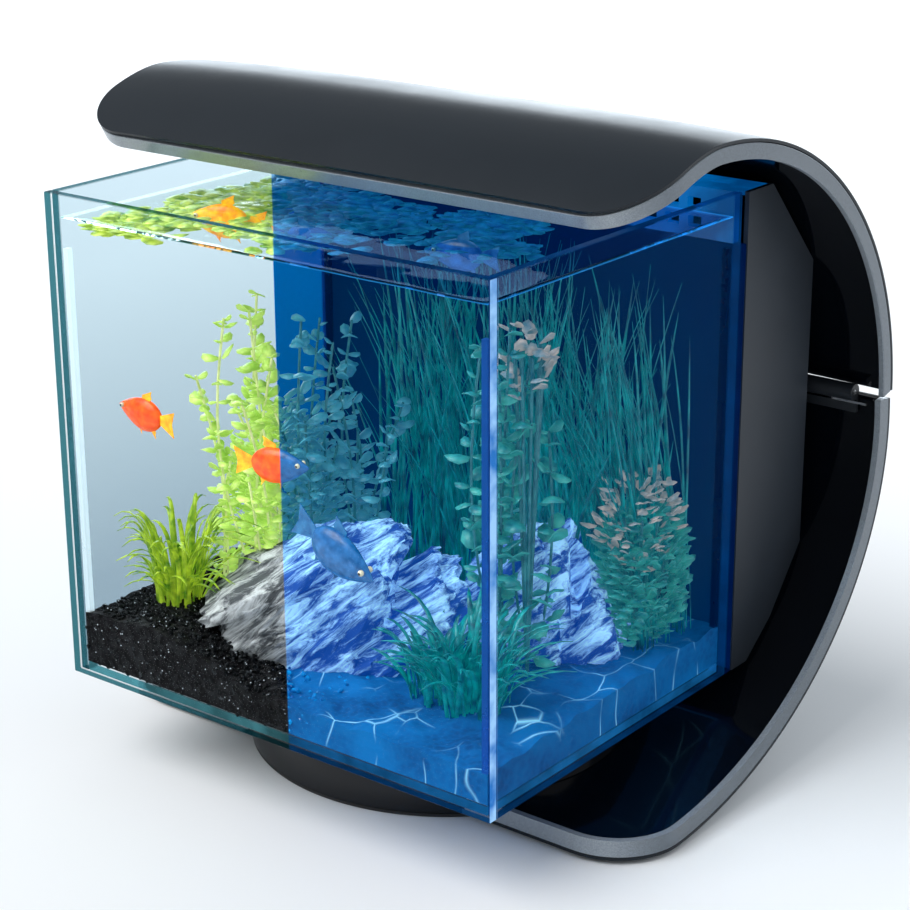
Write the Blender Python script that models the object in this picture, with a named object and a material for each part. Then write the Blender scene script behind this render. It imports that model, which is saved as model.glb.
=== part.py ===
"""A small glass aquarium held inside a C-shaped arch whose upper arm carries the lamp and tilts back.

Metres, +Z up. The glass front looks along -Y.
The origin is on the table, under the middle of the whole object.
"""

import math

import bmesh
import bpy
from mathutils import Matrix, Vector

# Gap left between pieces that touch on the real object.
GAP = 0.0003

# Glass tank: outer size, glass thickness, and where it stands.
TANK_WIDTH = 0.2665
TANK_DEPTH = 0.203
TANK_HEIGHT = 0.250
GLASS = 0.005
TANK_BOTTOM = 0.0445
TANK_FRONT = -0.14685
TANK_REAR = TANK_FRONT + TANK_DEPTH
TANK_TOP = TANK_BOTTOM + TANK_HEIGHT
TANK_MIDDLE_Y = TANK_FRONT + TANK_DEPTH / 2
OVERFLOW_HEIGHT = 0.026
SILICONE = 0.003

# Arch: half width, and the two ellipses that its edge follows,
# as (centre y, centre z, half depth, half height).
ARCH_HALF = 0.170
UPPER_ELLIPSE = (-0.02945, 0.1735, 0.1725, 0.1606)
LOWER_ELLIPSE = (-0.05405, 0.1612, 0.1958, 0.1576)
NOSE_LIP_Y = -0.09235
NOSE_DROP = 0.0225
NOSE_POWER = 1.7
NOSE_CORNER = 0.032
BASE_FRONT_Y = -0.0837
BASE_CORNER = 0.036
SKIN = 0.0015
CROWN = 0.0025
CROWN_POWER = 4
CROWN_FADE = 0.070
TRIM_WIDTH = 0.0032
HOOD_TRIM_HEIGHT = 0.0075
STAND_TRIM_HEIGHT = 0.0085
LINER = 0.0015
THIN_DEPTH = 0.0005
LINER_START = 0.0022
LIP_END_X = 0.05
HOOD_LINER_DEPTH = 0.0055
STAND_LINER_DEPTH = 0.0065

# Hinge between the two arms, on an axis along X.
HINGE_Y = 0.13465
HINGE_Z = 0.1775
NOTCH_DEG = 25.0
KNUCKLE_RADIUS = 0.0045
HINGE_BORE = 0.0018
PIN_RADIUS = 0.0015
HOOD_KNUCKLE_HALF = 0.1195
STAND_KNUCKLE_END = 0.154
LEAF_Y = (0.1371, 0.1391)

# Round pedestal under the tank.
DRUM_RADIUS = 0.105
DRUM_Y = -0.00585
DRUM_TOP = 0.0418
DRUM_WALL = 0.003
FOOT_HEIGHT = 0.0018
MAT_THICKNESS = 0.002

# The stand's two front wings, beside the pedestal: where their feet and their steel plates are.
WING_X = 0.133
WING_Y = -0.054
WING_PLATE = (0.042, 0.036, 0.003)
WING_PLATE_Z = 0.0058
NOTCH_CLEARANCE = 0.0006

# Filter column behind the glass: side outline as (y, z), front to rear and down.
FILM = 0.0004
FILM_RETURN_Y = 0.013
COLUMN_FRONT = TANK_REAR + 2 * GAP + FILM
COLUMN_OUTLINE = [
    (COLUMN_FRONT, TANK_TOP - 0.001),
    (0.0792, TANK_TOP - 0.001),
    (0.1220, 0.2470),
    (0.1220, 0.0950),
    (0.0940, 0.0615),
    (0.0715, 0.0445),
    (COLUMN_FRONT, 0.0445),
]
PANEL = 0.0025
COVER = 0.002

# Lamp tray under the hood.
LAMP_HALF = 0.126
LAMP_Y = (-0.062, 0.002)
LAMP_Z = (0.3065, 0.3180)
LAMP_WALL = 0.0015
WINDOW_HALF = 0.110
WINDOW_Y = (-0.044, -0.004)
SPACER_X = 0.098
SPACER_TOP = 0.3272
SPACER_HALF = 0.008
SPACER_Y = (-0.038, -0.008)
BOARD = 0.0016
BUTTON_Y = -0.053
BUTTON_RADIUS = 0.0045

# Pump and filter inside the column.
PUMP_X = 0.045
PUMP_Y = (0.066, 0.104)
PUMP_Z = 0.112
PUMP_RADIUS = 0.020
STUB_HALF = 0.007
INTAKE_COVER = 0.002
INTAKE_CIRCLE = 0.0085
INTAKE_HOLE = 0.0026
PUMP_CHAMBER = 0.0135
SHAFT_RADIUS = 0.0012
RISER_RADIUS = 0.005
PIPE_WALL = 0.0015
NOZZLE_Z = TANK_TOP - 0.0135
NOZZLE_RADIUS = 0.0055
BASKET = ((-0.112, -0.022), (0.063, 0.113), (0.140, 0.240))
DIVIDER_X = 0.002
DIVIDER_THICKNESS = 0.002
DIVIDER_TOP = 0.270
CRADLE_WIDTH = 0.024

ROUND = 48


def clear_scene():
    for thing in list(bpy.data.objects):
        bpy.data.objects.remove(thing)


def finish_material(name, colour, roughness, metallic=0.0, alpha=1.0):
    material = bpy.data.materials.new(name)
    material.use_nodes = True
    shader = material.node_tree.nodes["Principled BSDF"]
    shader.inputs["Base Color"].default_value = (*colour, 1.0)
    shader.inputs["Roughness"].default_value = roughness
    shader.inputs["Metallic"].default_value = metallic
    shader.inputs["Alpha"].default_value = alpha
    return material


FINISHES = {
    "glass": ((0.62, 0.84, 0.86), 0.03, 0.0, 0.35),
    "silicone": ((0.80, 0.88, 0.92), 0.35),
    "gloss_black": ((0.008, 0.009, 0.012), 0.12),
    "satin_black": ((0.020, 0.026, 0.034), 0.28),
    "silver": ((0.50, 0.54, 0.58), 0.35, 0.6),
    "slate_grey": ((0.030, 0.036, 0.045), 0.55),
    "film": ((0.004, 0.020, 0.070), 0.40),
    "rubber": ((0.020, 0.020, 0.022), 0.85),
    "foam": ((0.030, 0.030, 0.032), 0.95),
    "sponge": ((0.05, 0.12, 0.25), 0.95),
    "dark_plastic": ((0.015, 0.018, 0.022), 0.45),
    "diffuser": ((0.85, 0.92, 1.00), 0.30),
    "board": ((0.02, 0.12, 0.05), 0.45),
    "steel": ((0.60, 0.62, 0.64), 0.25, 1.0),
    "chrome": ((0.85, 0.87, 0.90), 0.08, 1.0),
    "gravel": ((0.012, 0.013, 0.015), 0.80),
    "slate_stone": ((0.32, 0.35, 0.38), 0.75),
}


def add(name, mesh, finish, smooth_angle=None):
    """One object in the scene with its own material."""
    thing = bpy.data.objects.new(name, mesh)
    bpy.context.scene.collection.objects.link(thing)
    mesh.materials.append(finish_material(name, *FINISHES[finish]))
    if smooth_angle is not None:
        mesh.shade_smooth()
        mesh.set_sharp_from_angle(angle=math.radians(smooth_angle))
    return thing


def mesh_from(bm, name):
    bmesh.ops.recalc_face_normals(bm, faces=bm.faces)
    mesh = bpy.data.meshes.new(name)
    bm.to_mesh(mesh)
    bm.free()
    return mesh


def box_bmesh(low, high, bevel=0.0):
    low = Vector(low)
    high = Vector(high)
    bm = bmesh.new()
    bmesh.ops.create_cube(bm, size=1.0)
    bmesh.ops.scale(bm, vec=high - low, verts=bm.verts)
    bmesh.ops.translate(bm, vec=(low + high) / 2, verts=bm.verts)
    if bevel:
        bmesh.ops.bevel(bm, geom=bm.edges, offset=bevel, segments=1, profile=0.5, affect="EDGES", material=-1)
    return bm


def add_box(name, low, high, finish, bevel=0.0):
    return add(name, mesh_from(box_bmesh(low, high, bevel), name), finish)


def round_bmesh(radius, low, high, axis, centre, segments=ROUND):
    """A closed cylinder from low to high along an axis letter; centre holds the other two coordinates."""
    bm = bmesh.new()
    bmesh.ops.create_cone(
        bm, cap_ends=True, segments=segments, radius1=radius, radius2=radius, depth=high - low
    )
    middle = (low + high) / 2
    if axis == "x":
        turn = Matrix.Rotation(math.pi / 2, 4, "Y")
        place = (middle, centre[0], centre[1])
    elif axis == "y":
        turn = Matrix.Rotation(-math.pi / 2, 4, "X")
        place = (centre[0], middle, centre[1])
    else:
        turn = Matrix.Identity(4)
        place = (centre[0], centre[1], middle)
    bmesh.ops.transform(bm, matrix=Matrix.Translation(place) @ turn, verts=bm.verts)
    return bm


def add_round(name, radius, low, high, axis, centre, finish, segments=ROUND):
    bm = round_bmesh(radius, low, high, axis, centre, segments)
    return add(name, mesh_from(bm, name), finish, smooth_angle=40)


def helper(name, bm):
    """A hidden shape that a Boolean reads."""
    mesh = mesh_from(bm, name)
    thing = bpy.data.objects.new(name, mesh)
    bpy.context.scene.collection.objects.link(thing)
    thing.hide_render = True
    thing.display_type = "WIRE"
    return thing


def boolean(thing, operation, other):
    modifier = thing.modifiers.new(operation.lower(), "BOOLEAN")
    modifier.operation = operation
    modifier.solver = "EXACT"
    modifier.object = other


def cut(thing, *cutters):
    for cutter in cutters:
        boolean(thing, "DIFFERENCE", cutter)


def join(thing, *others):
    for other in others:
        boolean(thing, "UNION", other)


def prism_bmesh(outline, low_x, high_x):
    """A (y, z) outline extruded along X."""
    bm = bmesh.new()
    verts = [bm.verts.new((low_x, y, z)) for y, z in outline]
    face = bm.faces.new(verts)
    result = bmesh.ops.extrude_face_region(bm, geom=[face])
    moved = [item for item in result["geom"] if isinstance(item, bmesh.types.BMVert)]
    bmesh.ops.translate(bm, vec=(high_x - low_x, 0, 0), verts=moved)
    return bm


def plan_prism_bmesh(outline, low_z, high_z):
    """A closed (x, y) outline extruded along Z."""
    bm = bmesh.new()
    verts = [bm.verts.new((x, y, low_z)) for x, y in outline]
    face = bm.faces.new(verts)
    result = bmesh.ops.extrude_face_region(bm, geom=[face])
    moved = [item for item in result["geom"] if isinstance(item, bmesh.types.BMVert)]
    bmesh.ops.translate(bm, vec=(0, 0, high_z - low_z), verts=moved)
    return bm


# ---- Arch ----


def corner_rows(edge_y, corner, half, count):
    """(y, half width) rows through a rounded front corner, from where it starts to the front edge."""
    rows = []
    for step in range(count + 1):
        angle = math.radians(90) * step / count
        rows.append((edge_y + corner * (1 - math.sin(angle)), half - corner * (1 - math.cos(angle))))
    return rows


def upper_rows(inset=0.0, start_z=HINGE_Z, arc_steps=20):
    """(y, z, half width) along the upper arm from the hinge over the crest to the lip."""
    centre_y, centre_z, depth, height = UPPER_ELLIPSE
    half = ARCH_HALF - inset
    first = math.asin((start_z - centre_z) / height)
    rows = []
    for step in range(arc_steps + 1):
        angle = first + (math.pi / 2 - first) * step / arc_steps
        rows.append((centre_y + depth * math.cos(angle), centre_z + height * math.sin(angle), half))
    lip_y = NOSE_LIP_Y + inset
    corner = NOSE_CORNER - inset
    crest = centre_z + height
    for y in (centre_y - 0.012, centre_y - 0.022):
        rows.append((y, nose_height(y, crest), half))
    for y, width in corner_rows(lip_y, corner, half, 7):
        rows.append((y, nose_height(y, crest), width))
    return rows


def nose_height(y, crest):
    ahead = UPPER_ELLIPSE[0] - y
    return crest - NOSE_DROP * (ahead / (UPPER_ELLIPSE[0] - NOSE_LIP_Y)) ** NOSE_POWER


def lower_rows(inset=0.0, start_z=HINGE_Z, arc_steps=20):
    """(y, z, half width) along the lower arm from the hinge down and forward to the base's front edge."""
    centre_y, centre_z, depth, height = LOWER_ELLIPSE
    half = ARCH_HALF - inset
    first = math.asin((start_z - centre_z) / height)
    corner = BASE_CORNER - inset
    front_y = BASE_FRONT_Y + inset
    rows = []
    last = -math.pi / 2 + math.radians(2.0)
    for step in range(arc_steps + 1):
        angle = first + (last - first) * step / arc_steps
        y = centre_y + depth * math.cos(angle)
        rows.append((y, centre_z + height * math.sin(angle), corner_width(y, front_y, corner, half)))
    bottom = centre_z - height
    for step in range(1, 7):
        angle = math.radians(90) * (0.18 + 0.82 * step / 6)
        y = front_y + corner * (1 - math.sin(angle))
        rows.append((y, bottom, half - corner * (1 - math.cos(angle))))
    return rows


def corner_width(y, edge_y, corner, half):
    """Half width at y of a plan whose front corners are rounded."""
    into = edge_y + corner - y
    if into <= 0:
        return half
    return half - corner + math.sqrt(corner**2 - into**2)


def row_normals(rows, side):
    """Unit (y, z) normals pointing out of the arch. side is +1 on the upper arm and -1 on the lower one."""
    normals = []
    for index in range(len(rows)):
        before = rows[max(index - 1, 0)]
        after = rows[min(index + 1, len(rows) - 1)]
        along_y = after[0] - before[0]
        along_z = after[1] - before[1]
        length = math.hypot(along_y, along_z)
        normals.append((side * along_z / length, -side * along_y / length))
    return normals


def arch_point(row, normal, across, offset, crowned=True):
    """The point at the share across (-1 to 1) of a row, moved out by offset along the normal."""
    rise = offset
    if crowned:
        share = 1 - abs(across * row[2] / ARCH_HALF) ** CROWN_POWER
        rise += CROWN * share * smooth_share((row[1] - 0.004) / CROWN_FADE)
    return Vector((across * row[2], row[0] + normal[0] * rise, row[1] + normal[1] * rise))


def arch_sheet(name, rows, side, offset_of, thickness, finish, columns=10):
    """A sheet that follows the arch, crowned across, with its outer face at offset_of(row)."""
    normals = row_normals(rows, side)
    bm = bmesh.new()
    bmesh.ops.create_grid(bm, x_segments=columns, y_segments=len(rows) - 1, size=1.0)
    spots = sorted(bm.verts, key=lambda vert: (round(vert.co.y, 6), vert.co.x))
    width = columns + 1
    for index, vert in enumerate(spots):
        row = index // width
        across = vert.co.x
        vert.co = arch_point(rows[row], normals[row], across, offset_of(rows[row]))
    return solid_sheet(name, bm, thickness, finish)


def solid_sheet(name, bm, thickness, finish):
    """Gives an open sheet its thickness, inward from the face that it shows."""
    bmesh.ops.recalc_face_normals(bm, faces=bm.faces)
    middle = max(bm.faces, key=lambda face: abs(face.normal.y) + abs(face.normal.z))
    arch_middle = Vector((0, -0.03, 0.165))
    if (middle.calc_center_median() - arch_middle).dot(middle.normal) < 0:
        bmesh.ops.reverse_faces(bm, faces=bm.faces)
    mesh = bpy.data.meshes.new(name)
    bm.to_mesh(mesh)
    bm.free()
    thing = add(name, mesh, finish, smooth_angle=35)
    wall = thing.modifiers.new("wall", "SOLIDIFY")
    wall.thickness = thickness
    wall.offset = -1.0
    wall.use_even_offset = True
    return thing


def edge_pairs(outer, inner, side, across):
    """Pairs of points, one on the outer and one on the inner line, along one edge of an arm."""
    pairs = []
    for row_out, row_in, normal in zip(outer, inner, row_normals(outer, side)):
        first = arch_point(row_out, normal, across, -GAP, False)
        second = arch_point(row_in, normal, across, -GAP, False)
        pairs.append((first, second))
    return pairs


def edge_strip(name, outer, inner, side, height, finish, sides=(1.0, -1.0)):
    """The band round an arm's rim: round both edges and the lip, or along one edge and a bit of the lip."""
    pairs = edge_pairs(outer, inner, side, sides[0])
    if len(sides) == 2:
        pairs.extend(reversed(edge_pairs(outer, inner, side, sides[1])))
    else:
        stop = sides[0] * LIP_END_X
        pairs.append(tuple(Vector((stop, point.y, point.z)) for point in pairs[-1]))
    bm = bmesh.new()
    bmesh.ops.create_grid(bm, x_segments=1, y_segments=len(pairs) - 1, size=1.0)
    spots = sorted(bm.verts, key=lambda vert: (round(vert.co.y, 6), vert.co.x))
    for index, vert in enumerate(spots):
        vert.co = pairs[index // 2][index % 2]
    return solid_sheet(name, bm, height, finish)


def hood_liner_depth(row):
    """The liner lies right under the skin at the back, and at the trim's inner edge over the tank."""
    share = smooth_share((0.060 - row[0]) / 0.030)
    if row[1] < UPPER_ELLIPSE[1]:
        share = 0.0
    return -(THIN_DEPTH + (HOOD_LINER_DEPTH - THIN_DEPTH) * share)


def stand_liner_depth(row):
    share = smooth_share((0.056 - row[0]) / 0.026)
    return -(THIN_DEPTH + (STAND_LINER_DEPTH - THIN_DEPTH) * share)


def smooth_share(value):
    value = min(max(value, 0.0), 1.0)
    return value * value * (3 - 2 * value)


def notch_cutter(name, side):
    """Cuts an arm back to its face of the wedge-shaped room. side is +1 for the upper arm."""
    reach = 0.040
    inside = HINGE_Y - 0.004
    slope = side * math.tan(math.radians(NOTCH_DEG / 2))
    outline = [
        (inside, HINGE_Z),
        (HINGE_Y, HINGE_Z),
        (HINGE_Y + reach, HINGE_Z + reach * slope),
        (HINGE_Y + reach, HINGE_Z - side * 0.020),
        (inside, HINGE_Z - side * 0.020),
    ]
    return helper(name, prism_bmesh(outline, -0.2, 0.2))


def make_arch():
    hood_notch = notch_cutter("hood_notch_cutter", 1)
    stand_notch = notch_cutter("stand_notch_cutter", -1)
    drum_room = helper(
        "drum_room_cutter",
        round_bmesh(DRUM_RADIUS + NOTCH_CLEARANCE, -0.01, 0.06, "z", (0, DRUM_Y), 64),
    )

    hood_skin = arch_sheet("hood_outer_shell", upper_rows(), 1, lambda row: SKIN, SKIN, "satin_black")
    cut(hood_skin, hood_notch)
    hood_trim = edge_strip(
        "hood_edge_trim", upper_rows(), upper_rows(TRIM_WIDTH), 1, HOOD_TRIM_HEIGHT, "silver"
    )
    cut(hood_trim, hood_notch)
    inner = upper_rows(TRIM_WIDTH + GAP, HINGE_Z + LINER_START, 18)
    arch_sheet("hood_inner_liner", inner, 1, hood_liner_depth, LINER, "gloss_black", 8)

    stand_skin = arch_sheet("stand_outer_shell", lower_rows(), -1, lambda row: SKIN, SKIN, "satin_black")
    cut(stand_skin, stand_notch, drum_room)
    inner = lower_rows(TRIM_WIDTH + GAP, HINGE_Z - LINER_START, 18)
    stand_liner = arch_sheet("stand_inner_liner", inner, -1, stand_liner_depth, LINER, "gloss_black", 8)
    cut(stand_liner, drum_room)
    for name, across in (("stand_edge_trim_right", 1.0), ("stand_edge_trim_left", -1.0)):
        outer, inner = lower_rows(), lower_rows(TRIM_WIDTH)
        trim = edge_strip(name, outer, inner, -1, STAND_TRIM_HEIGHT, "silver", (across,))
        cut(trim, stand_notch, drum_room)


def make_hinge():
    """A long tube and leaf on the hood, a short one at each end on the stand, and the pin through all."""
    centre = (HINGE_Y, HINGE_Z)
    bore = helper("hinge_bore_cutter", round_bmesh(HINGE_BORE, -0.17, 0.17, "x", centre, 24))
    tubes = (
        ("hood_hinge_leaf", -HOOD_KNUCKLE_HALF, HOOD_KNUCKLE_HALF, (HINGE_Z + 0.0005, 0.1900)),
        ("stand_hinge_leaf_right", HOOD_KNUCKLE_HALF + GAP, STAND_KNUCKLE_END, (0.1660, HINGE_Z - 0.0005)),
        ("stand_hinge_leaf_left", -STAND_KNUCKLE_END, -HOOD_KNUCKLE_HALF - GAP, (0.1660, HINGE_Z - 0.0005)),
    )
    for name, low, high, leaf_z in tubes:
        tube = add_round(name, KNUCKLE_RADIUS, low, high, "x", centre, "dark_plastic", 32)
        plate = box_bmesh((low + GAP, LEAF_Y[0], leaf_z[0]), (high - GAP, LEAF_Y[1], leaf_z[1]))
        leaf = helper(name + "_plate", plate)
        join(tube, leaf)
        cut(tube, bore)
    add_round("hinge_pin", PIN_RADIUS, -STAND_KNUCKLE_END, STAND_KNUCKLE_END, "x", centre, "steel", 24)
    strip_rear = LEAF_Y[0] - GAP
    add_box(
        "hinge_trim_strip",
        (-0.160, strip_rear - 0.0012, HINGE_Z - 0.0062),
        (0.160, strip_rear, HINGE_Z - 0.0050),
        "chrome",
    )


# ---- Tank ----


def make_tank():
    half = TANK_WIDTH / 2
    top = TANK_TOP
    base = TANK_BOTTOM
    edge = 0.0004
    add_box("tank_front_pane", (-half, TANK_FRONT, base), (half, TANK_FRONT + GLASS, top), "glass", edge)
    rear_top = top - OVERFLOW_HEIGHT
    add_box("tank_rear_pane", (-half, TANK_REAR - GLASS, base), (half, TANK_REAR, rear_top), "glass", edge)
    side_front = TANK_FRONT + GLASS + GAP
    side_rear = TANK_REAR - GLASS - GAP
    add_box("tank_right_pane", (half - GLASS, side_front, base), (half, side_rear, top), "glass", edge)
    add_box("tank_left_pane", (-half, side_front, base), (-half + GLASS, side_rear, top), "glass", edge)
    inner = half - GLASS - GAP
    add_box("tank_bottom_pane", (-inner, side_front, base), (inner, side_rear, base + GLASS), "glass", edge)
    make_film(half)
    make_silicone(inner - GAP, side_front + GAP, side_rear - GAP, base + GLASS + GAP, rear_top)
    make_overflow(half, rear_top + GAP)


def make_film(half):
    """Dark background film behind the rear pane, with a narrow return along the left pane."""
    low_z = TANK_BOTTOM + 0.001
    high_z = TANK_TOP - OVERFLOW_HEIGHT - 0.001
    rear = TANK_REAR + GAP
    side = -half - GAP
    film = add_box("background_film", (side - FILM, rear, low_z), (half - 0.001, rear + FILM, high_z), "film")
    strip = box_bmesh((side - FILM, FILM_RETURN_Y, low_z), (side, rear + FILM / 2, high_z))
    join(film, helper("film_return", strip))


def make_silicone(half, front, rear, low, high):
    """One bead that runs round the bottom and up the four corners."""
    ring = add_box("silicone_seams", (-half, front, low), (half, rear, low + SILICONE), "silicone")
    hollow = helper(
        "silicone_cutter",
        box_bmesh(
            (-half + SILICONE, front + SILICONE, low - 0.01),
            (half - SILICONE, rear - SILICONE, low + 0.01),
        ),
    )
    cut(ring, hollow)
    for side in (-1, 1):
        for start in (front, rear - SILICONE):
            x_low = min(side * half, side * (half - SILICONE))
            post = box_bmesh((x_low, start, low + 0.0005), (x_low + SILICONE, start + SILICONE, high - 0.002))
            join(ring, helper(f"silicone_post_{side}_{start:.2f}".replace(".", "_"), post))


def make_overflow(half, low):
    """The slotted comb above the rear pane, where water passes into the filter column."""
    high = TANK_TOP - 0.0005
    plate = add_box(
        "overflow_grille",
        (-half + GLASS + GAP, TANK_REAR - GLASS, low),
        (half - GLASS - GAP, TANK_REAR, high),
        "dark_plastic",
    )
    slot_count = 18
    pitch = 0.0125
    slots = bmesh.new()
    for index in range(slot_count):
        x = (index - (slot_count - 1) / 2) * pitch
        if abs(x - PUMP_X) < 0.012:
            continue
        for row in (0, 1):
            slot_low = low + 0.005 + row * 0.0095
            one = bmesh.ops.create_cube(slots, size=1.0)
            bmesh.ops.scale(slots, vec=(0.0075, 0.02, 0.0050), verts=one["verts"])
            bmesh.ops.translate(slots, vec=(x, TANK_REAR - GLASS / 2, slot_low + 0.0025), verts=one["verts"])
    cut(plate, helper("overflow_slot_cutter", slots))
    centre = (PUMP_X, NOZZLE_Z)
    hole = round_bmesh(NOZZLE_RADIUS + 0.0015, TANK_REAR - 0.02, TANK_REAR + 0.02, "y", centre, 32)
    cut(plate, helper("nozzle_hole_cutter", hole))


def make_pedestal():
    centre = (0, DRUM_Y)
    drum_low = FOOT_HEIGHT + GAP
    drum = add_round("pedestal_drum", DRUM_RADIUS, drum_low, DRUM_TOP, "z", centre, "gloss_black", 64)
    hollow = round_bmesh(DRUM_RADIUS - DRUM_WALL, -0.01, DRUM_TOP - DRUM_WALL, "z", (0, DRUM_Y), 64)
    cut(drum, helper("drum_hollow_cutter", hollow))
    ring = add_round("pedestal_foot_ring", DRUM_RADIUS - 0.0005, 0.0, FOOT_HEIGHT, "z", centre, "rubber", 64)
    ring_hole = round_bmesh(DRUM_RADIUS - 0.010, -0.01, 0.01, "z", (0, DRUM_Y), 64)
    cut(ring, helper("ring_hole_cutter", ring_hole))
    mat_low = DRUM_TOP + GAP
    add_round("cushion_mat", DRUM_RADIUS - 0.004, mat_low, mat_low + MAT_THICKNESS, "z", centre, "foam", 48)
    for side, x in (("right", WING_X), ("left", -WING_X)):
        add_round("rubber_foot_" + side, 0.008, 0.0, FOOT_HEIGHT, "z", (x, WING_Y), "rubber", 32)
        low = (x - WING_PLATE[0] / 2, WING_Y - WING_PLATE[1] / 2, WING_PLATE_Z)
        high = (x + WING_PLATE[0] / 2, WING_Y + WING_PLATE[1] / 2, WING_PLATE_Z + WING_PLATE[2])
        add_box("ballast_plate_" + side, low, high, "steel", 0.0004)


# ---- Filter column ----


def inset_outline(outline, distance):
    """The same outline moved inward, its corners kept, for an outline that turns one way."""
    count = len(outline)
    middle_y = sum(point[0] for point in outline) / count
    middle_z = sum(point[1] for point in outline) / count
    lines = []
    for index in range(count):
        y1, z1 = outline[index]
        y2, z2 = outline[(index + 1) % count]
        normal = Vector((z2 - z1, y1 - y2)).normalized()
        if normal.dot(Vector((middle_y - y1, middle_z - z1))) < 0:
            normal = -normal
        lines.append((Vector((y1, z1)) + normal * distance, Vector((y2 - y1, z2 - z1))))
    inner = []
    for index in range(count):
        point_a, along_a = lines[index - 1]
        point_b, along_b = lines[index]
        cross = along_a.x * along_b.y - along_a.y * along_b.x
        share = ((point_b.x - point_a.x) * along_b.y - (point_b.y - point_a.y) * along_b.x) / cross
        inner.append(tuple(point_a + along_a * share))
    return inner


def make_column():
    half = TANK_WIDTH / 2
    for name, side in (("column_side_panel_right", 1), ("column_side_panel_left", -1)):
        low = min(side * half, side * (half - PANEL))
        panel = add(name, mesh_from(prism_bmesh(COLUMN_OUTLINE, low, low + PANEL), name), "slate_grey")
        if side < 0:
            hole = round_bmesh(0.0053, -half - 0.01, -half + 0.02, "x", (0.088, 0.078), 24)
            cut(panel, helper("gland_hole_cutter", hole))
    cover_half = half - PANEL - GAP
    outer = COLUMN_OUTLINE[1:]
    inner = inset_outline(COLUMN_OUTLINE, COVER)[1:]
    cover_outline = outer + list(reversed(inner))
    bm = prism_bmesh(cover_outline, -cover_half, cover_half)
    add("column_back_cover", mesh_from(bm, "column_back_cover"), "gloss_black")
    make_column_top(cover_half)


def make_column_top(cover_half):
    """The removable top plate of the column, with a row of air slots."""
    high = TANK_TOP - 0.001
    top_rear = inset_outline(COLUMN_OUTLINE, COVER)[1][0] - GAP
    low_corner = (-cover_half, COLUMN_FRONT, high - COVER)
    top = add_box("column_top_plate", low_corner, (cover_half, top_rear, high), "dark_plastic")
    slots = bmesh.new()
    for index in range(14):
        x = (index - 6.5) * 0.017
        one = bmesh.ops.create_cube(slots, size=1.0)
        bmesh.ops.scale(slots, vec=(0.011, 0.0035, 0.02), verts=one["verts"])
        bmesh.ops.translate(slots, vec=(x, (COLUMN_FRONT + top_rear) / 2, high), verts=one["verts"])
    cut(top, helper("top_slot_cutter", slots))


def make_column_inside():
    """A partition between the filter side and the pump side, the basket's shelf and the pump's cradle."""
    outline = inset_outline(COLUMN_OUTLINE, COVER + GAP)
    walls = [(COLUMN_FRONT + GAP, outline[0][1]), *outline[1:-1], (COLUMN_FRONT + GAP, outline[-1][1])]
    divider_x = (DIVIDER_X - DIVIDER_THICKNESS, DIVIDER_X)
    divider = add_inner_slice("column_divider", walls, *divider_x, (0.0, DIVIDER_TOP), "dark_plastic")
    port = box_bmesh((DIVIDER_X - 0.01, 0.066, 0.062), (DIVIDER_X + 0.01, 0.086, 0.092))
    cut(divider, helper("divider_port_cutter", port))

    inner = TANK_WIDTH / 2 - PANEL - GAP
    (x1, x2), (y1, y2), (z1, _) = BASKET
    shelf_top = z1 - GAP
    shelf_range = (shelf_top - 0.003, shelf_top)
    shelf_end = DIVIDER_X - DIVIDER_THICKNESS - GAP
    shelf = add_inner_slice("basket_shelf", walls, -inner, shelf_end, shelf_range, "dark_plastic")
    port = box_bmesh((x1 + 0.008, y1 + 0.008, z1 - 0.02), (x2 - 0.008, y2 - 0.008, z1 + 0.02))
    cut(shelf, helper("shelf_port_cutter", port))

    low_x = PUMP_X - CRADLE_WIDTH / 2
    cradle = add_inner_slice(
        "pump_cradle", walls, low_x, low_x + CRADLE_WIDTH, (0.0, PUMP_Z - 0.012), "rubber"
    )
    seat = round_bmesh(PUMP_RADIUS + GAP, 0.0, 0.2, "y", (PUMP_X, PUMP_Z), 40)
    front = box_bmesh((low_x - 0.01, 0.05, 0.0), (low_x + CRADLE_WIDTH + 0.01, PUMP_Y[0] + 0.004, 0.2))
    cut(cradle, helper("pump_seat_cutter", seat), helper("cradle_front_cutter", front))


def add_inner_slice(name, walls, low_x, high_x, z_range, finish):
    """The part of the column's inner outline between two heights, as one solid from low_x to high_x."""
    piece = add(name, mesh_from(prism_bmesh(walls, low_x, high_x), name), finish)
    keep = box_bmesh((low_x - 0.01, 0.0, z_range[0]), (high_x + 0.01, 0.2, z_range[1]))
    boolean(piece, "INTERSECT", helper(name + "_range", keep))
    return piece


def make_filter():
    (x1, x2), (y1, y2), (z1, z2) = BASKET
    wall = 0.0018
    basket = add_box("filter_basket", (x1, y1, z1), (x2, y2, z2), "dark_plastic")
    room = box_bmesh((x1 + wall, y1 + wall, z1 + wall), (x2 - wall, y2 - wall, z2 + 0.01))
    cut(basket, helper("basket_room_cutter", room))
    slots = bmesh.new()
    for index in range(6):
        x = x1 + 0.012 + index * 0.013
        one = bmesh.ops.create_cube(slots, size=1.0)
        bmesh.ops.scale(slots, vec=(0.005, 0.034, 0.02), verts=one["verts"])
        bmesh.ops.translate(slots, vec=(x, (y1 + y2) / 2, z1), verts=one["verts"])
    cut(basket, helper("basket_slot_cutter", slots))
    room_gap = wall + 0.0006
    add_box(
        "filter_sponge",
        (x1 + room_gap, y1 + room_gap, z1 + room_gap),
        (x2 - room_gap, y2 - room_gap, z2 - 0.012),
        "sponge",
        0.002,
    )


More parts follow.
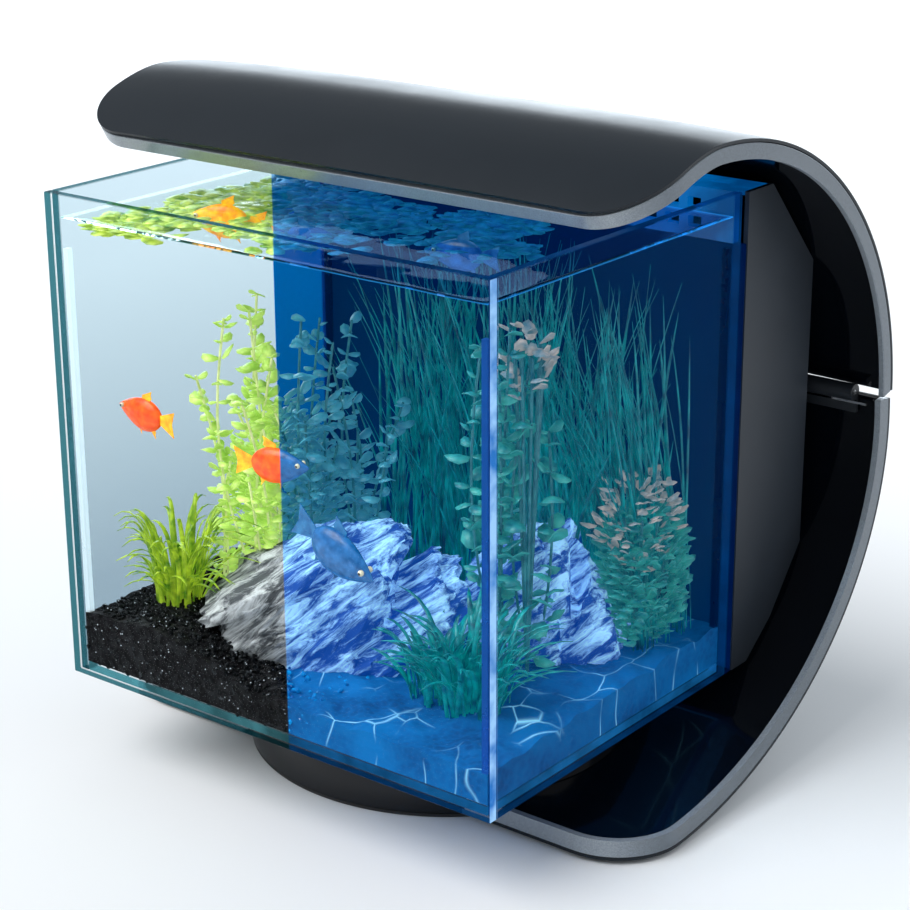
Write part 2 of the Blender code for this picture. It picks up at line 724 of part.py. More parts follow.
def make_pump():
    """Pump body with an open chamber, the impeller in it, its slotted cover, the riser and the nozzle."""
    front, rear = PUMP_Y
    centre = (PUMP_X, PUMP_Z)
    body = add_round("pump_body", PUMP_RADIUS, front, rear, "y", centre, "dark_plastic", 40)
    chamber = round_bmesh(PUMP_CHAMBER, front - 0.01, front + 0.016, "y", centre, 40)
    cut(body, helper("pump_chamber_cutter", chamber))
    riser_y = front + 0.008
    outlet = round_bmesh(RISER_RADIUS - 0.0015, PUMP_Z, PUMP_Z + 0.05, "z", (PUMP_X, riser_y), 20)
    stub_low = (PUMP_X - STUB_HALF, riser_y - STUB_HALF, PUMP_Z + 0.015)
    stub_high = (PUMP_X + STUB_HALF, riser_y + STUB_HALF, PUMP_Z + 0.028)
    stub = helper("pump_stub", box_bmesh(stub_low, stub_high))
    join(body, stub)
    cut(body, helper("pump_outlet_cutter", outlet))
    make_impeller(front, centre)
    add_round("impeller_shaft", SHAFT_RADIUS, front + 0.001, front + 0.016 - GAP, "y", centre, "steel", 20)
    cover_y = (front - GAP - INTAKE_COVER, front - GAP)
    cover = add_round("pump_intake_cover", PUMP_RADIUS, *cover_y, "y", centre, "dark_plastic", 40)
    eye = bmesh.new()
    for index in range(6):
        angle = index * math.pi / 3
        spot = (PUMP_X + INTAKE_CIRCLE * math.cos(angle), PUMP_Z + INTAKE_CIRCLE * math.sin(angle))
        hole = round_bmesh(INTAKE_HOLE, front - 0.02, front + 0.02, "y", spot, 12)
        part = bpy.data.meshes.new("hole")
        hole.to_mesh(part)
        hole.free()
        eye.from_mesh(part)
    cut(cover, helper("intake_hole_cutter", eye))
    pipe_low = PUMP_Z + 0.028 + GAP
    outline_radius = RISER_RADIUS
    upright = (PUMP_X, riser_y)
    level = (PUMP_X, NOZZLE_Z)
    riser_z = (pipe_low, NOZZLE_Z + 0.001)
    riser = add_round("outlet_riser", outline_radius, *riser_z, "z", upright, "dark_plastic", 24)
    elbow_y = (TANK_REAR - GLASS - 0.004, riser_y + outline_radius)
    elbow = helper("riser_elbow", round_bmesh(outline_radius, *elbow_y, "y", level, 24))
    join(riser, elbow)
    bore_up = round_bmesh(RISER_RADIUS - PIPE_WALL, pipe_low - 0.01, NOZZLE_Z + 0.0005, "z", upright, 20)
    bore_y = (TANK_REAR - GLASS - 0.01, riser_y + 0.001)
    bore_out = round_bmesh(RISER_RADIUS - PIPE_WALL, *bore_y, "y", level, 20)
    cut(riser, helper("riser_bore_cutter", bore_up), helper("elbow_bore_cutter", bore_out))
    make_nozzle(TANK_REAR - GLASS - 0.004 - GAP)


def make_impeller(front, centre):
    """Hub with six straight blades; its origin is on its axis."""
    start = front + 0.0015
    hub = round_bmesh(0.0045, 0.0, 0.013, "y", (0, 0), 20)
    impeller = add("impeller", mesh_from(hub, "impeller"), "chrome", 40)
    impeller.location = (centre[0], start, centre[1])
    for index in range(6):
        blade = box_bmesh((-0.0006, 0.0005, 0.0030), (0.0006, 0.0105, PUMP_CHAMBER - 0.0015))
        bmesh.ops.transform(blade, matrix=Matrix.Rotation(index * math.pi / 3, 4, "Y"), verts=blade.verts)
        vane = helper(f"impeller_blade_{index}", blade)
        vane.location = impeller.location
        join(impeller, vane)
    bore = helper("impeller_bore_cutter", round_bmesh(SHAFT_RADIUS + GAP, -0.01, 0.03, "y", (0, 0), 20))
    bore.location = impeller.location
    cut(impeller, bore)


def make_nozzle(back):
    """A short spout that turns about the elbow's axis, with its mouth to one side."""
    length = 0.014
    body = round_bmesh(NOZZLE_RADIUS, -length, 0.0, "y", (0, 0), 28)
    nozzle = add("outlet_nozzle", mesh_from(body, "outlet_nozzle"), "dark_plastic", 40)
    nozzle.location = (PUMP_X, back, NOZZLE_Z)
    beak_box = box_bmesh((-0.0050, -length, -0.0105), (0.0050, -length + 0.007, -0.0005), 0.0008)
    beak = helper("nozzle_beak", beak_box)
    beak.location = nozzle.location
    join(nozzle, beak)
    bore_bmesh = round_bmesh(NOZZLE_RADIUS - PIPE_WALL, -length + 0.002, 0.01, "y", (0, 0), 20)
    bore = helper("nozzle_bore_cutter", bore_bmesh)
    mouth_box = box_bmesh((-0.0034, -length + 0.0018, -0.02), (0.0034, -length + 0.0052, 0.0))
    mouth = helper("nozzle_mouth_cutter", mouth_box)
    for cutter in (bore, mouth):
        cutter.location = nozzle.location
        cut(nozzle, cutter)


def make_gland():
    """The grommet in the left side panel through which the leads leave."""
    half = TANK_WIDTH / 2
    centre = (0.088, 0.078)
    gland = add_round("cable_gland", 0.005, -half - 0.006, -half + 0.006, "x", centre, "rubber", 24)
    flange = helper("gland_flange", round_bmesh(0.0085, -half - 0.0025, -half - GAP, "x", centre, 24))
    join(gland, flange)
    cut(gland, helper("gland_bore_cutter", round_bmesh(0.0022, -half - 0.02, -half + 0.02, "x", centre, 16)))


# ---- Lamp ----


def make_lamp():
    (y1, y2), (z1, z2) = LAMP_Y, LAMP_Z
    cover_top = z1 + LAMP_WALL
    tray = add_box("lamp_tray", (-LAMP_HALF, y1, cover_top + GAP), (LAMP_HALF, y2, z2), "gloss_black")
    room = box_bmesh(
        (-LAMP_HALF + LAMP_WALL, y1 + LAMP_WALL, z1 - 0.01),
        (LAMP_HALF - LAMP_WALL, y2 - LAMP_WALL, z2 - LAMP_WALL),
    )
    cut(tray, helper("tray_room_cutter", room))
    cover = add_box("lamp_cover", (-LAMP_HALF, y1, z1), (LAMP_HALF, y2, cover_top), "gloss_black")
    window = box_bmesh((-WINDOW_HALF, WINDOW_Y[0], z1 - 0.01), (WINDOW_HALF, WINDOW_Y[1], z1 + 0.01))
    button_hole = round_bmesh(BUTTON_RADIUS + 0.0004, z1 - 0.01, z1 + 0.01, "z", (0, BUTTON_Y), 32)
    cut(cover, helper("window_cutter", window), helper("button_hole_cutter", button_hole))
    add_box(
        "lamp_lens",
        (-WINDOW_HALF + GAP, WINDOW_Y[0] + GAP, z1),
        (WINDOW_HALF - GAP, WINDOW_Y[1] - GAP, cover_top),
        "diffuser",
    )
    board_top = z2 - LAMP_WALL - GAP
    for name, low, high in (("white_led_board", -0.043, -0.026), ("blue_led_board", -0.022, -0.005)):
        add_box(name, (-0.112, low, board_top - BOARD), (0.112, high, board_top), "board")
    add_box("lamp_driver_board", (0.114, -0.043, board_top - BOARD), (0.123, -0.005, board_top), "board")
    switch_low = (-0.003, BUTTON_Y - 0.003, board_top - 0.0050)
    add_box("mode_switch", switch_low, (0.003, BUTTON_Y + 0.003, board_top), "dark_plastic")
    for side, x in (("right", SPACER_X), ("left", -SPACER_X)):
        low_corner = (x - SPACER_HALF, SPACER_Y[0], z2 + GAP)
        high_corner = (x + SPACER_HALF, SPACER_Y[1], SPACER_TOP)
        add_box("lamp_spacer_" + side, low_corner, high_corner, "dark_plastic")
    make_button(z1)


def make_button(face):
    """The day and night button: a round cap with a collar that keeps it in its hole."""
    cap = round_bmesh(BUTTON_RADIUS, -0.0016, 0.0028, "z", (0, 0), 32)
    button = add("mode_button", mesh_from(cap, "mode_button"), "silver", 40)
    button.location = (0, BUTTON_Y, face)
    collar = helper("button_collar", round_bmesh(0.0062, LAMP_WALL + GAP, 0.0030, "z", (0, 0), 32))
    collar.location = button.location
    join(button, collar)


# ---- Gravel and stone ----

BED_FRONT = 0.015
BED_RISE = 0.006
MOUND_HEIGHT = 0.014
MOUND_X = -0.085
MOUND_EDGE_X = -0.005
MOUND_FADE = 0.07


STONE_OUTLINES = {
    "large_stone": (
        [
            (-0.078, -0.098),
            (-0.020, -0.118),
            (0.040, -0.102),
            (0.050, -0.062),
            (0.008, -0.040),
            (-0.060, -0.052),
        ],
        0.082,
    ),
    "small_stone": ([(0.060, -0.060), (0.096, -0.048), (0.100, -0.012), (0.070, -0.006)], 0.060),
}


def make_stones():
    """Slate stones that stand on the glass bottom; each tapers to a ridge."""
    floor = TANK_BOTTOM + GLASS + GAP
    cutters = []
    for name, (outline, height) in STONE_OUTLINES.items():
        bm = plan_prism_bmesh(outline, floor, floor + height)
        middle = sum((Vector((x, y, 0)) for x, y in outline), Vector()) / len(outline)
        for vert in bm.verts:
            if vert.co.z > floor + height / 2:
                vert.co.x = middle.x + (vert.co.x - middle.x) * 0.62
                vert.co.y = middle.y + 0.012 + (vert.co.y - middle.y) * 0.35
                vert.co.z -= abs(vert.co.x - middle.x) * 0.5
        bmesh.ops.triangulate(bm, faces=bm.faces)
        add(name, mesh_from(bm, name), "slate_stone")
        room = [(middle.x + (x - middle.x) * 1.03, middle.y + (y - middle.y) * 1.03) for x, y in outline]
        cutters.append(helper(name + "_room", plan_prism_bmesh(room, floor - 0.01, floor + 0.09)))
    return cutters


def bed_height(x, y):
    """Depth of gravel: a mound at the front left, lower sand to the right, rising to the back."""
    half = TANK_WIDTH / 2
    left = smooth_share((MOUND_EDGE_X - x) / MOUND_FADE)
    back = (y - TANK_FRONT) / TANK_DEPTH
    mound = MOUND_HEIGHT * left * (1 - abs(x - MOUND_X) / half * 0.6)
    return BED_FRONT + BED_RISE * back + mound * (1 - 0.5 * back)


def make_gravel(stone_rooms):
    inset = GLASS + 3 * GAP + SILICONE
    half = TANK_WIDTH / 2 - inset
    front = TANK_FRONT + inset
    rear = TANK_REAR - inset
    floor = TANK_BOTTOM + GLASS + GAP
    columns, lines = 14, 10
    bm = bmesh.new()
    bmesh.ops.create_grid(bm, x_segments=columns, y_segments=lines, size=1.0)
    for vert in bm.verts:
        x = vert.co.x * half
        y = (front + rear) / 2 + vert.co.y * (rear - front) / 2
        vert.co = Vector((x, y, floor + bed_height(x, y)))
    skirt = bmesh.ops.extrude_face_region(bm, geom=bm.faces[:])
    for item in skirt["geom"]:
        if isinstance(item, bmesh.types.BMVert):
            item.co.z = floor
    gravel = add("gravel_bed", mesh_from(bm, "gravel_bed"), "gravel")
    cut(gravel, *stone_rooms)


def main():
    clear_scene()
    make_tank()
    make_pedestal()
    make_arch()
    make_hinge()
    make_column()
    make_column_inside()
    make_filter()
    make_pump()
    make_gland()
    make_lamp()
    make_gravel(make_stones())


main()
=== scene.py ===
import math
import random

import bmesh
import bpy
from mathutils import Matrix, Vector, noise


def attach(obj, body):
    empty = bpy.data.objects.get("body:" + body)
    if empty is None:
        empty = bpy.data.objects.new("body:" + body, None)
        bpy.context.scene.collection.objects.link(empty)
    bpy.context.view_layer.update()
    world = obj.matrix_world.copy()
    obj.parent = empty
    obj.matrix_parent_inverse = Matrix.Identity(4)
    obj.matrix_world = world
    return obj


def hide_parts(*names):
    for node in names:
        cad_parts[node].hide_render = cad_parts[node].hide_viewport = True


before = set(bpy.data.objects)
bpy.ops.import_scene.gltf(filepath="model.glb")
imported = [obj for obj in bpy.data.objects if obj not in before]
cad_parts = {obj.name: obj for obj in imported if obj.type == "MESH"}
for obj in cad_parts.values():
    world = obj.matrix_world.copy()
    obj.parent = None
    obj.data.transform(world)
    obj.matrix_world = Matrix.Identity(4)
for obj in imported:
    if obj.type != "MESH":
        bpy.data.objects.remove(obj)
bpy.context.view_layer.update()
stand = "stand_and_tank"
print("frame loaded:", len(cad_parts), "nodes")

# camera, floor and lamps
camera = {"place": (0.6807, -0.8704, 0.5404), "azimuth": 38.04, "down": 19.52, "roll": -0.276, "lens": 90.85}
studio = {
    "floorHalf": 9.0, "floorTone": (0.93, 0.94, 0.95, 1), "sky": (0.88, 0.94, 1.0, 1), "skyStrength": 0.45,
}
daylight = {"power": 2.0, "spread": 50, "turn": (28, -22, 0)}
lamps = {
    "keyLamp": {
        "place": (-1.3, -1.2, 1.6), "aim": (0, 0, 0.15), "size": (1.3, 1.3), "power": 4,
        "tone": (1, 0.98, 0.95),
    },
    "crestLamp": {
        "place": (-1.65, 2.8, 0.56), "aim": (0, 0.02, 0.3), "size": (6.6, 0.80), "power": 92,
        "tone": (0.82, 0.92, 1),
    },
    "sideLamp": {
        "place": (1.8, 0.3, 0.9), "aim": (0.1, 0, 0.15), "size": (0.9, 0.9), "power": 3,
        "tone": (0.9, 0.95, 1),
    },
}


def setCamera():
    a, e, r = (math.radians(camera[key]) for key in ("azimuth", "down", "roll"))
    back = Vector((math.sin(a) * math.cos(e), -math.cos(a) * math.cos(e), math.sin(e)))
    level = Vector((math.cos(a), math.sin(a), 0))
    upright = back.cross(level)
    right = level * math.cos(r) + upright * math.sin(r)
    up = upright * math.cos(r) - level * math.sin(r)
    data = bpy.data.cameras.new("camera")
    data.lens = camera["lens"]
    data.sensor_width = 36
    made = bpy.data.objects.new("camera", data)
    made.matrix_world = Matrix.Translation(camera["place"]) @ Matrix((right, up, back)).transposed().to_4x4()
    bpy.context.scene.collection.objects.link(made)
    bpy.context.scene.camera = made


def setLamps():
    for name, lamp in lamps.items():
        data = bpy.data.lights.new(name, "AREA")
        data.shape = "RECTANGLE"
        data.size, data.size_y = lamp["size"]
        data.energy = lamp["power"]
        data.color = lamp["tone"]
        made = bpy.data.objects.new(name, data)
        made.location = lamp["place"]
        made.rotation_mode = "QUATERNION"
        made.rotation_quaternion = (Vector(lamp["aim"]) - made.location).to_track_quat("-Z", "Y")
        bpy.context.scene.collection.objects.link(made)
    data = bpy.data.lights.new("softDaylight", "SUN")
    data.angle = math.radians(daylight["spread"])
    data.energy = daylight["power"]
    made = bpy.data.objects.new("softDaylight", data)
    made.rotation_euler = [math.radians(turn) for turn in daylight["turn"]]
    bpy.context.scene.collection.objects.link(made)
    world = bpy.data.worlds.new("studio")
    world.use_nodes = True
    world.node_tree.nodes["Background"].inputs["Color"].default_value = studio["sky"]
    world.node_tree.nodes["Background"].inputs["Strength"].default_value = studio["skyStrength"]
    bpy.context.scene.world = world
    bpy.context.scene.view_settings.view_transform = "Standard"


setCamera()
setLamps()
print("camera and lamps set")


# nodes for the materials

def addNode(tree, kind, values=None, **settings):
    made = tree.nodes.new("ShaderNode" + kind)
    for key, value in settings.items():
        setattr(made, key, value)
    for key, value in (values or {}).items():
        feed(tree, made.inputs[key], value)
    return made


def feed(tree, socket, value):
    if isinstance(value, bpy.types.NodeSocket):
        tree.links.new(value, socket)
    else:
        socket.default_value = value


def blendTones(tree, factor, first, second, kind="MIX"):
    made = addNode(tree, "Mix", data_type="RGBA", blend_type=kind)
    feed(tree, made.inputs[0], factor)
    feed(tree, made.inputs[6], first)
    feed(tree, made.inputs[7], second)
    return made.outputs[2]


def sums(tree, kind, first, second=0.0, clamp=False):
    made = addNode(tree, "Math", operation=kind, use_clamp=clamp)
    feed(tree, made.inputs[0], first)
    feed(tree, made.inputs[1], second)
    return made.outputs[0]


def spread(tree, value, low, high, toLow=0.0, toHigh=1.0):
    made = addNode(
        tree, "MapRange",
        {"Value": value, "From Min": low, "From Max": high, "To Min": toLow, "To Max": toHigh},
    )
    return made.outputs[0]


def objectPoint(tree):
    return addNode(tree, "TexCoord").outputs["Object"]


def objectParts(tree):
    return addNode(tree, "SeparateXYZ", {"Vector": objectPoint(tree)}).outputs


def addNoise(tree, place, scale, detail=2.0, rough=0.5, warp=0.0):
    values = {"Vector": place, "Scale": scale, "Detail": detail, "Roughness": rough, "Distortion": warp}
    return addNode(tree, "TexNoise", values).outputs[0]


def bumps(tree, height, strength, distance):
    return addNode(tree, "Bump", {"Height": height, "Strength": strength, "Distance": distance}).outputs[0]


def newGroup(name, inputs, outputs):
    group = bpy.data.node_groups.new(name, "ShaderNodeTree")
    for label, kind, value in inputs:
        group.interface.new_socket(
            label, in_out="INPUT", socket_type="NodeSocket" + kind,
        ).default_value = value
    for label, kind in outputs:
        group.interface.new_socket(label, in_out="OUTPUT", socket_type="NodeSocket" + kind)
    return group, group.nodes.new("NodeGroupInput").outputs, group.nodes.new("NodeGroupOutput").inputs


def makeGrain():
    # fine surface grain: a height for the bump and a slow cloud for roughness
    group, given, put = newGroup(
        "surfaceGrain",
        [
            ("Scale", "Float", 900.0), ("Depth", "Float", 0.1), ("Smooth", "Float", 0.2),
            ("Rough", "Float", 0.3),
        ],
        [("Roughness", "Float"), ("Normal", "Vector"), ("Cloud", "Float")],
    )
    place = objectPoint(group)
    fine = addNoise(group, place, given["Scale"], 3.0)
    cloud = addNoise(group, place, 22.0, 5.0, 0.65)
    group.links.new(bumps(group, fine, given["Depth"], 0.0003), put["Normal"])
    group.links.new(cloud, put["Cloud"])
    rough = addNode(group, "MapRange", {"Value": cloud, "From Min": 0.3, "From Max": 0.7})
    feed(group, rough.inputs["To Min"], given["Smooth"])
    feed(group, rough.inputs["To Max"], given["Rough"])
    group.links.new(rough.outputs[0], put["Roughness"])
    return group


split = {"x": 0.0141, "y": 0.14685, "slope": 0.921, "soft": 0.0004}


def makeDayNight():
    # painted light: the tank's left front is coloured as lit by day and the rest as lit by night; an upright
    # plane parts the two
    group, given, put = newGroup(
        "dayNight", [
            ("Day", "Color", (1, 1, 1, 1)), ("Night", "Color", (0, 0, 1, 1)),
        ], [("Color", "Color"), ("Night part", "Float")]
    )
    parts = objectParts(group)
    across = sums(group, "ADD", parts[0], -split["x"])
    deep = sums(group, "MULTIPLY", sums(group, "ADD", parts[1], split["y"]), split["slope"])
    side = spread(group, sums(group, "ADD", across, deep), -split["soft"], split["soft"])
    group.links.new(blendTones(group, side, given["Day"], given["Night"]), put["Color"])
    group.links.new(side, put["Night part"])
    return group


def makeEdgeTintAndPaintedLight():
    # glass is clear through its faces and deep teal through its cut edges; the same mask also places painted
    # light: the glow on glass edges and at the water's rim, and painted shade on the silver trim's sides
    group, given, put = newGroup(
        "edgeTintAndPaintedLight",
        [
            ("Face axis", "Vector", (0, 1, 0)), ("Face", "Color", (1, 1, 1, 1)),
            ("Edge", "Color", (0, 0.3, 0.35, 1)),
        ],
        [("Color", "Color"), ("Edge part", "Float")],
    )
    normal = addNode(group, "NewGeometry").outputs["Normal"]
    along = addNode(group, "VectorMath", operation="DOT_PRODUCT")
    group.links.new(normal, along.inputs[0])
    group.links.new(given["Face axis"], along.inputs[1])
    side = spread(group, sums(group, "ABSOLUTE", along.outputs["Value"]), 0.95, 0.5)
    group.links.new(blendTones(group, side, given["Face"], given["Edge"]), put["Color"])
    group.links.new(side, put["Edge part"])
    return group


def makeCaustics():
    # a painted net of light, such as a rippled surface throws on the ground
    group, given, put = newGroup(
        "lightNet", [("Scale", "Float", 26.0), ("Width", "Float", 0.06)], [("Light", "Float")],
    )
    place = objectPoint(group)
    warp = addNode(group, "TexNoise", {"Vector": place, "Scale": 24.0, "Detail": 1.0})
    bent = addNode(group, "VectorMath", operation="MULTIPLY_ADD")
    group.links.new(warp.outputs["Color"], bent.inputs[0])
    bent.inputs[1].default_value = (0.022, 0.022, 0.0)
    group.links.new(place, bent.inputs[2])
    flat = addNode(group, "Mapping", {"Vector": bent.outputs[0], "Scale": (1, 1, 0.2)})
    cells = addNode(
        group, "TexVoronoi", {"Vector": flat.outputs[0], "Scale": given["Scale"]}, feature="DISTANCE_TO_EDGE",
    )
    near = addNode(
        group, "MapRange",
        {"Value": cells.outputs["Distance"], "From Min": 0.0, "To Min": 1.0, "To Max": 0.0},
    )
    feed(group, near.inputs["From Max"], given["Width"])
    patch = addNoise(group, place, 30.0)
    strength = spread(group, patch, 0.46, 0.66)
    group.links.new(
        sums(group, "MULTIPLY", sums(group, "POWER", near.outputs[0], 2.2), strength), put["Light"],
    )
    return group


groups = {
    "grain": makeGrain(), "dayNight": makeDayNight(), "edgeTintAndPaintedLight": makeEdgeTintAndPaintedLight(), "lightNet": makeCaustics(),
}


def newFinish(name, **plain):
    material = bpy.data.materials.new(name)
    material.use_nodes = True
    tree = material.node_tree
    shader = tree.nodes["Principled BSDF"]
    paint(tree, shader, **plain)
    return material, tree, shader


def paint(tree, shader, **values):
    for key, value in values.items():
        feed(tree, shader.inputs[sockets[key]], value)


sockets = {
    "tone": "Base Color", "rough": "Roughness", "metal": "Metallic", "coat": "Coat Weight",
    "coatRough": "Coat Roughness",
    "ior": "IOR", "through": "Transmission Weight", "glow": "Emission Color",
    "glowStrength": "Emission Strength",
    "level": "Specular IOR Level", "normal": "Normal",
}


def addGroup(tree, name, values):
    made = tree.nodes.new("ShaderNodeGroup")
    made.node_tree = groups[name]
    for key, value in values.items():
        feed(tree, made.inputs[key], value)
    return made.outputs


def letLampsThrough(tree, shader):
    # rays from lamps pass straight, so what is behind the glass is lit
    clear = addNode(tree, "BsdfTransparent")
    both = tree.nodes.new("ShaderNodeMixShader")
    tree.links.new(addNode(tree, "LightPath").outputs["Is Shadow Ray"], both.inputs[0])
    tree.links.new(shader.outputs[0], both.inputs[1])
    tree.links.new(clear.outputs[0], both.inputs[2])
    tree.links.new(both.outputs[0], tree.nodes["Material Output"].inputs["Surface"])


def dayNight(tree, day, night):
    return addGroup(tree, "dayNight", {"Day": day, "Night": night})["Color"]


# moulded plastics: tone, smoothest and roughest gloss, grain scale and depth
plastics = {
    "hoodSatin": {
        "tone": (0.003, 0.007, 0.012, 1), "rough": (0.34, 0.40), "grain": (900, 0.004), "level": 0.30,
    },
    "glossBlack": {
        "tone": (0.001, 0.002, 0.004, 1), "rough": (0.05, 0.10), "grain": (300, 0.01), "level": 0.35,
    },
    "slateGrey": {"tone": (0.020, 0.026, 0.035, 1), "rough": (0.42, 0.52), "grain": (2200, 0.25)},
    "mattBlack": {"tone": (0.010, 0.013, 0.017, 1), "rough": (0.38, 0.50), "grain": (1800, 0.2)},
    "rubberBlack": {"tone": (0.012, 0.012, 0.013, 1), "rough": (0.70, 0.85), "grain": (2600, 0.35)},
    "foamBlack": {"tone": (0.014, 0.014, 0.016, 1), "rough": (0.88, 0.96), "grain": (1300, 0.8)},
    "whiteMoulding": {"tone": (0.72, 0.76, 0.78, 1), "rough": (0.28, 0.38), "grain": (1500, 0.1)},
}


def makePlastic(name):
    spec = plastics[name]
    material, tree, shader = newFinish(name, level=spec.get("level", 0.5))
    (scale, depth), (smooth, rough) = spec["grain"], spec["rough"]
    grain = addGroup(tree, "grain", {"Scale": scale, "Depth": depth, "Smooth": smooth, "Rough": rough})
    dust = tuple(min(1, part * 1.5 + 0.001) for part in spec["tone"][:3]) + (1,)
    paint(tree, shader, tone=blendTones(tree, grain["Cloud"], spec["tone"], dust))
    paint(tree, shader, rough=grain["Roughness"], normal=grain["Normal"])
    return material


def makeSilver():
    # painted with fine metal flake; its faces that point along x are darkened as painted shade
    material, tree, shader = newFinish("silverPaint", metal=0.25, coat=0.2, coatRough=0.15)
    place = objectPoint(tree)
    flake = addNode(tree, "TexVoronoi", {"Vector": place, "Scale": 2600.0})
    tone = blendTones(
        tree, spread(tree, flake.outputs["Color"], 0.2, 0.9), (0.25, 0.28, 0.31, 1), (0.36, 0.40, 0.44, 1),
    )
    # painted shade: faces turned along x take less than half the brightness
    side = addGroup(
        tree, "edgeTintAndPaintedLight", {"Face axis": (1, 0, 0), "Face": (0.46, 0.49, 0.52, 1), "Edge": (1, 1, 1, 1)},
    )
    paint(tree, shader, tone=blendTones(tree, 1.0, tone, side["Color"], "MULTIPLY"))
    grain = addGroup(tree, "grain", {"Scale": 1800.0, "Depth": 0.12, "Smooth": 0.26, "Rough": 0.38})
    paint(tree, shader, rough=grain["Roughness"], normal=grain["Normal"])
    return material


def makeMetal(name, tone, rough):
    material, tree, shader = newFinish(name, metal=1.0)
    place = objectPoint(tree)
    along = addNode(tree, "Mapping", {"Vector": place, "Scale": (40, 1400, 1400)})
    brushed = addNoise(tree, along.outputs[0], 1.0, 4.0)
    dark = tuple(part * 0.8 for part in tone) + (1,)
    paint(tree, shader, tone=blendTones(tree, brushed, dark, (*tone, 1)))
    paint(tree, shader, rough=spread(tree, brushed, 0.2, 0.8, rough * 0.7, rough * 1.3))
    paint(tree, shader, normal=bumps(tree, brushed, 0.1, 0.0001))
    return material


# glass looks: the glows make cut edges glow, as painted light, and differ by day and night; the corner tones
# paint a highlight down the near front-right corner; the left tones paint shade on the left pane, darker
# towards the bottom
glassLook = {
    "ior": 1.03, "face": (0.985, 1.0, 1.0, 1), "corner": (0.34, 0.62, 0.95, 1),
    "cornerHighlightDim": (0.03, 0.18, 0.52, 1),
    "edgeDay": (0.003, 0.034, 0.044, 1), "edgeNight": (0.002, 0.04, 0.15, 1),
    "glowDay": (0.001, 0.020, 0.027, 1), "glowNight": (0.001, 0.045, 0.17, 1),
    "rearDay": (0.10, 0.14, 0.16, 1), "rearNight": (0.0, 0.008, 0.05, 1), "footDay": (0.06, 0.22, 0.26, 1),
    "footNight": (0.01, 0.16, 0.46, 1),
    "leftShadeTop": (0.58, 0.70, 0.75, 1), "leftShadeBottom": (0.33, 0.43, 0.49, 1),
}


def makeGlass(name, axis, shaded=False, paintedEdgeLight="glow"):
    material, tree, shader = newFinish(name, through=1.0, ior=glassLook["ior"], glowStrength=1.0)
    parts = objectParts(tree)
    face = glassLook["face"]
    # painted shade: the left pane is tinted grey-blue, darker towards the bottom
    if shaded:
        face = blendTones(
            tree, spread(tree, parts[2], 0.09, 0.25), glassLook["leftShadeBottom"], glassLook["leftShadeTop"],
        )
    # cut edges are teal; their night tone is painted blue light
    edge = dayNight(tree, glassLook["edgeDay"], glassLook["edgeNight"])
    tint = addGroup(tree, "edgeTintAndPaintedLight", {"Face axis": axis, "Face": face, "Edge": edge})
    paint(tree, shader, tone=tint["Color"])
    # painted light: the cut edges glow in streaks
    streak = addNoise(tree, objectPoint(tree), 60.0, 3.0)
    glow = dayNight(tree, glassLook[paintedEdgeLight + "Day"], glassLook[paintedEdgeLight + "Night"])
    glow = blendTones(tree, sums(tree, "MULTIPLY", tint["Edge part"], streak), (0, 0, 0, 1), glow)
    # painted highlight: a bright streaked line of glow down the near front-right corner
    corner = sums(
        tree, "MULTIPLY", spread(tree, parts[0], 0.1330, 0.1331), spread(tree, parts[1], -0.141, -0.142),
    )
    shine = blendTones(tree, spread(tree, streak, 0.35, 0.6), glassLook["cornerHighlightDim"], glassLook["corner"])
    paint(tree, shader, glow=blendTones(tree, corner, glow, shine))
    paint(tree, shader, rough=spread(tree, tint["Edge part"], 0, 1, 0.0, 0.18))
    letLampsThrough(tree, shader)
    return material


def makeSilicone():
    material, tree, shader = newFinish("clearSilicone", through=0.8, ior=1.04, glowStrength=0.25)
    grain = addGroup(tree, "grain", {"Scale": 500.0, "Depth": 0.2, "Smooth": 0.2, "Rough": 0.4})
    parts = objectParts(tree)
    # painted light: bright blue beside the front-right corner as a highlight, elsewhere pale by day and dark
    # blue by night; the colour is also given as glow
    near = sums(
        tree, "MULTIPLY", spread(tree, parts[0], 0.110, 0.116), spread(tree, parts[1], -0.130, -0.136),
    )
    far = dayNight(tree, (0.72, 0.82, 0.86, 1), (0.0, 0.02, 0.09, 1))
    tone = blendTones(tree, near, far, (0.02, 0.12, 0.42, 1))
    paint(tree, shader, tone=tone, glow=tone, rough=grain["Roughness"], normal=grain["Normal"])
    letLampsThrough(tree, shader)
    return material


def makeWater():
    material, tree, shader = newFinish("waterSurface", through=1.0, ior=1.05, rough=0.0, glowStrength=1.0)
    # painted light: the water is tinted pale by day and blue by night, and its edges and climbing rim glow as
    # a line of light
    paint(tree, shader, tone=dayNight(tree, (0.92, 0.98, 0.96, 1), (0.32, 0.62, 0.92, 1)))
    line = dayNight(tree, (0.03, 0.12, 0.10, 1), (0.01, 0.14, 0.36, 1))
    side = addGroup(tree, "edgeTintAndPaintedLight", {"Face axis": (0, 0, 1), "Face": (0, 0, 0, 1), "Edge": line})
    paint(tree, shader, glow=side["Color"])
    ripple = addNoise(tree, objectPoint(tree), 34.0)
    paint(tree, shader, normal=bumps(tree, ripple, 0.12, 0.002))
    letLampsThrough(tree, shader)
    return material


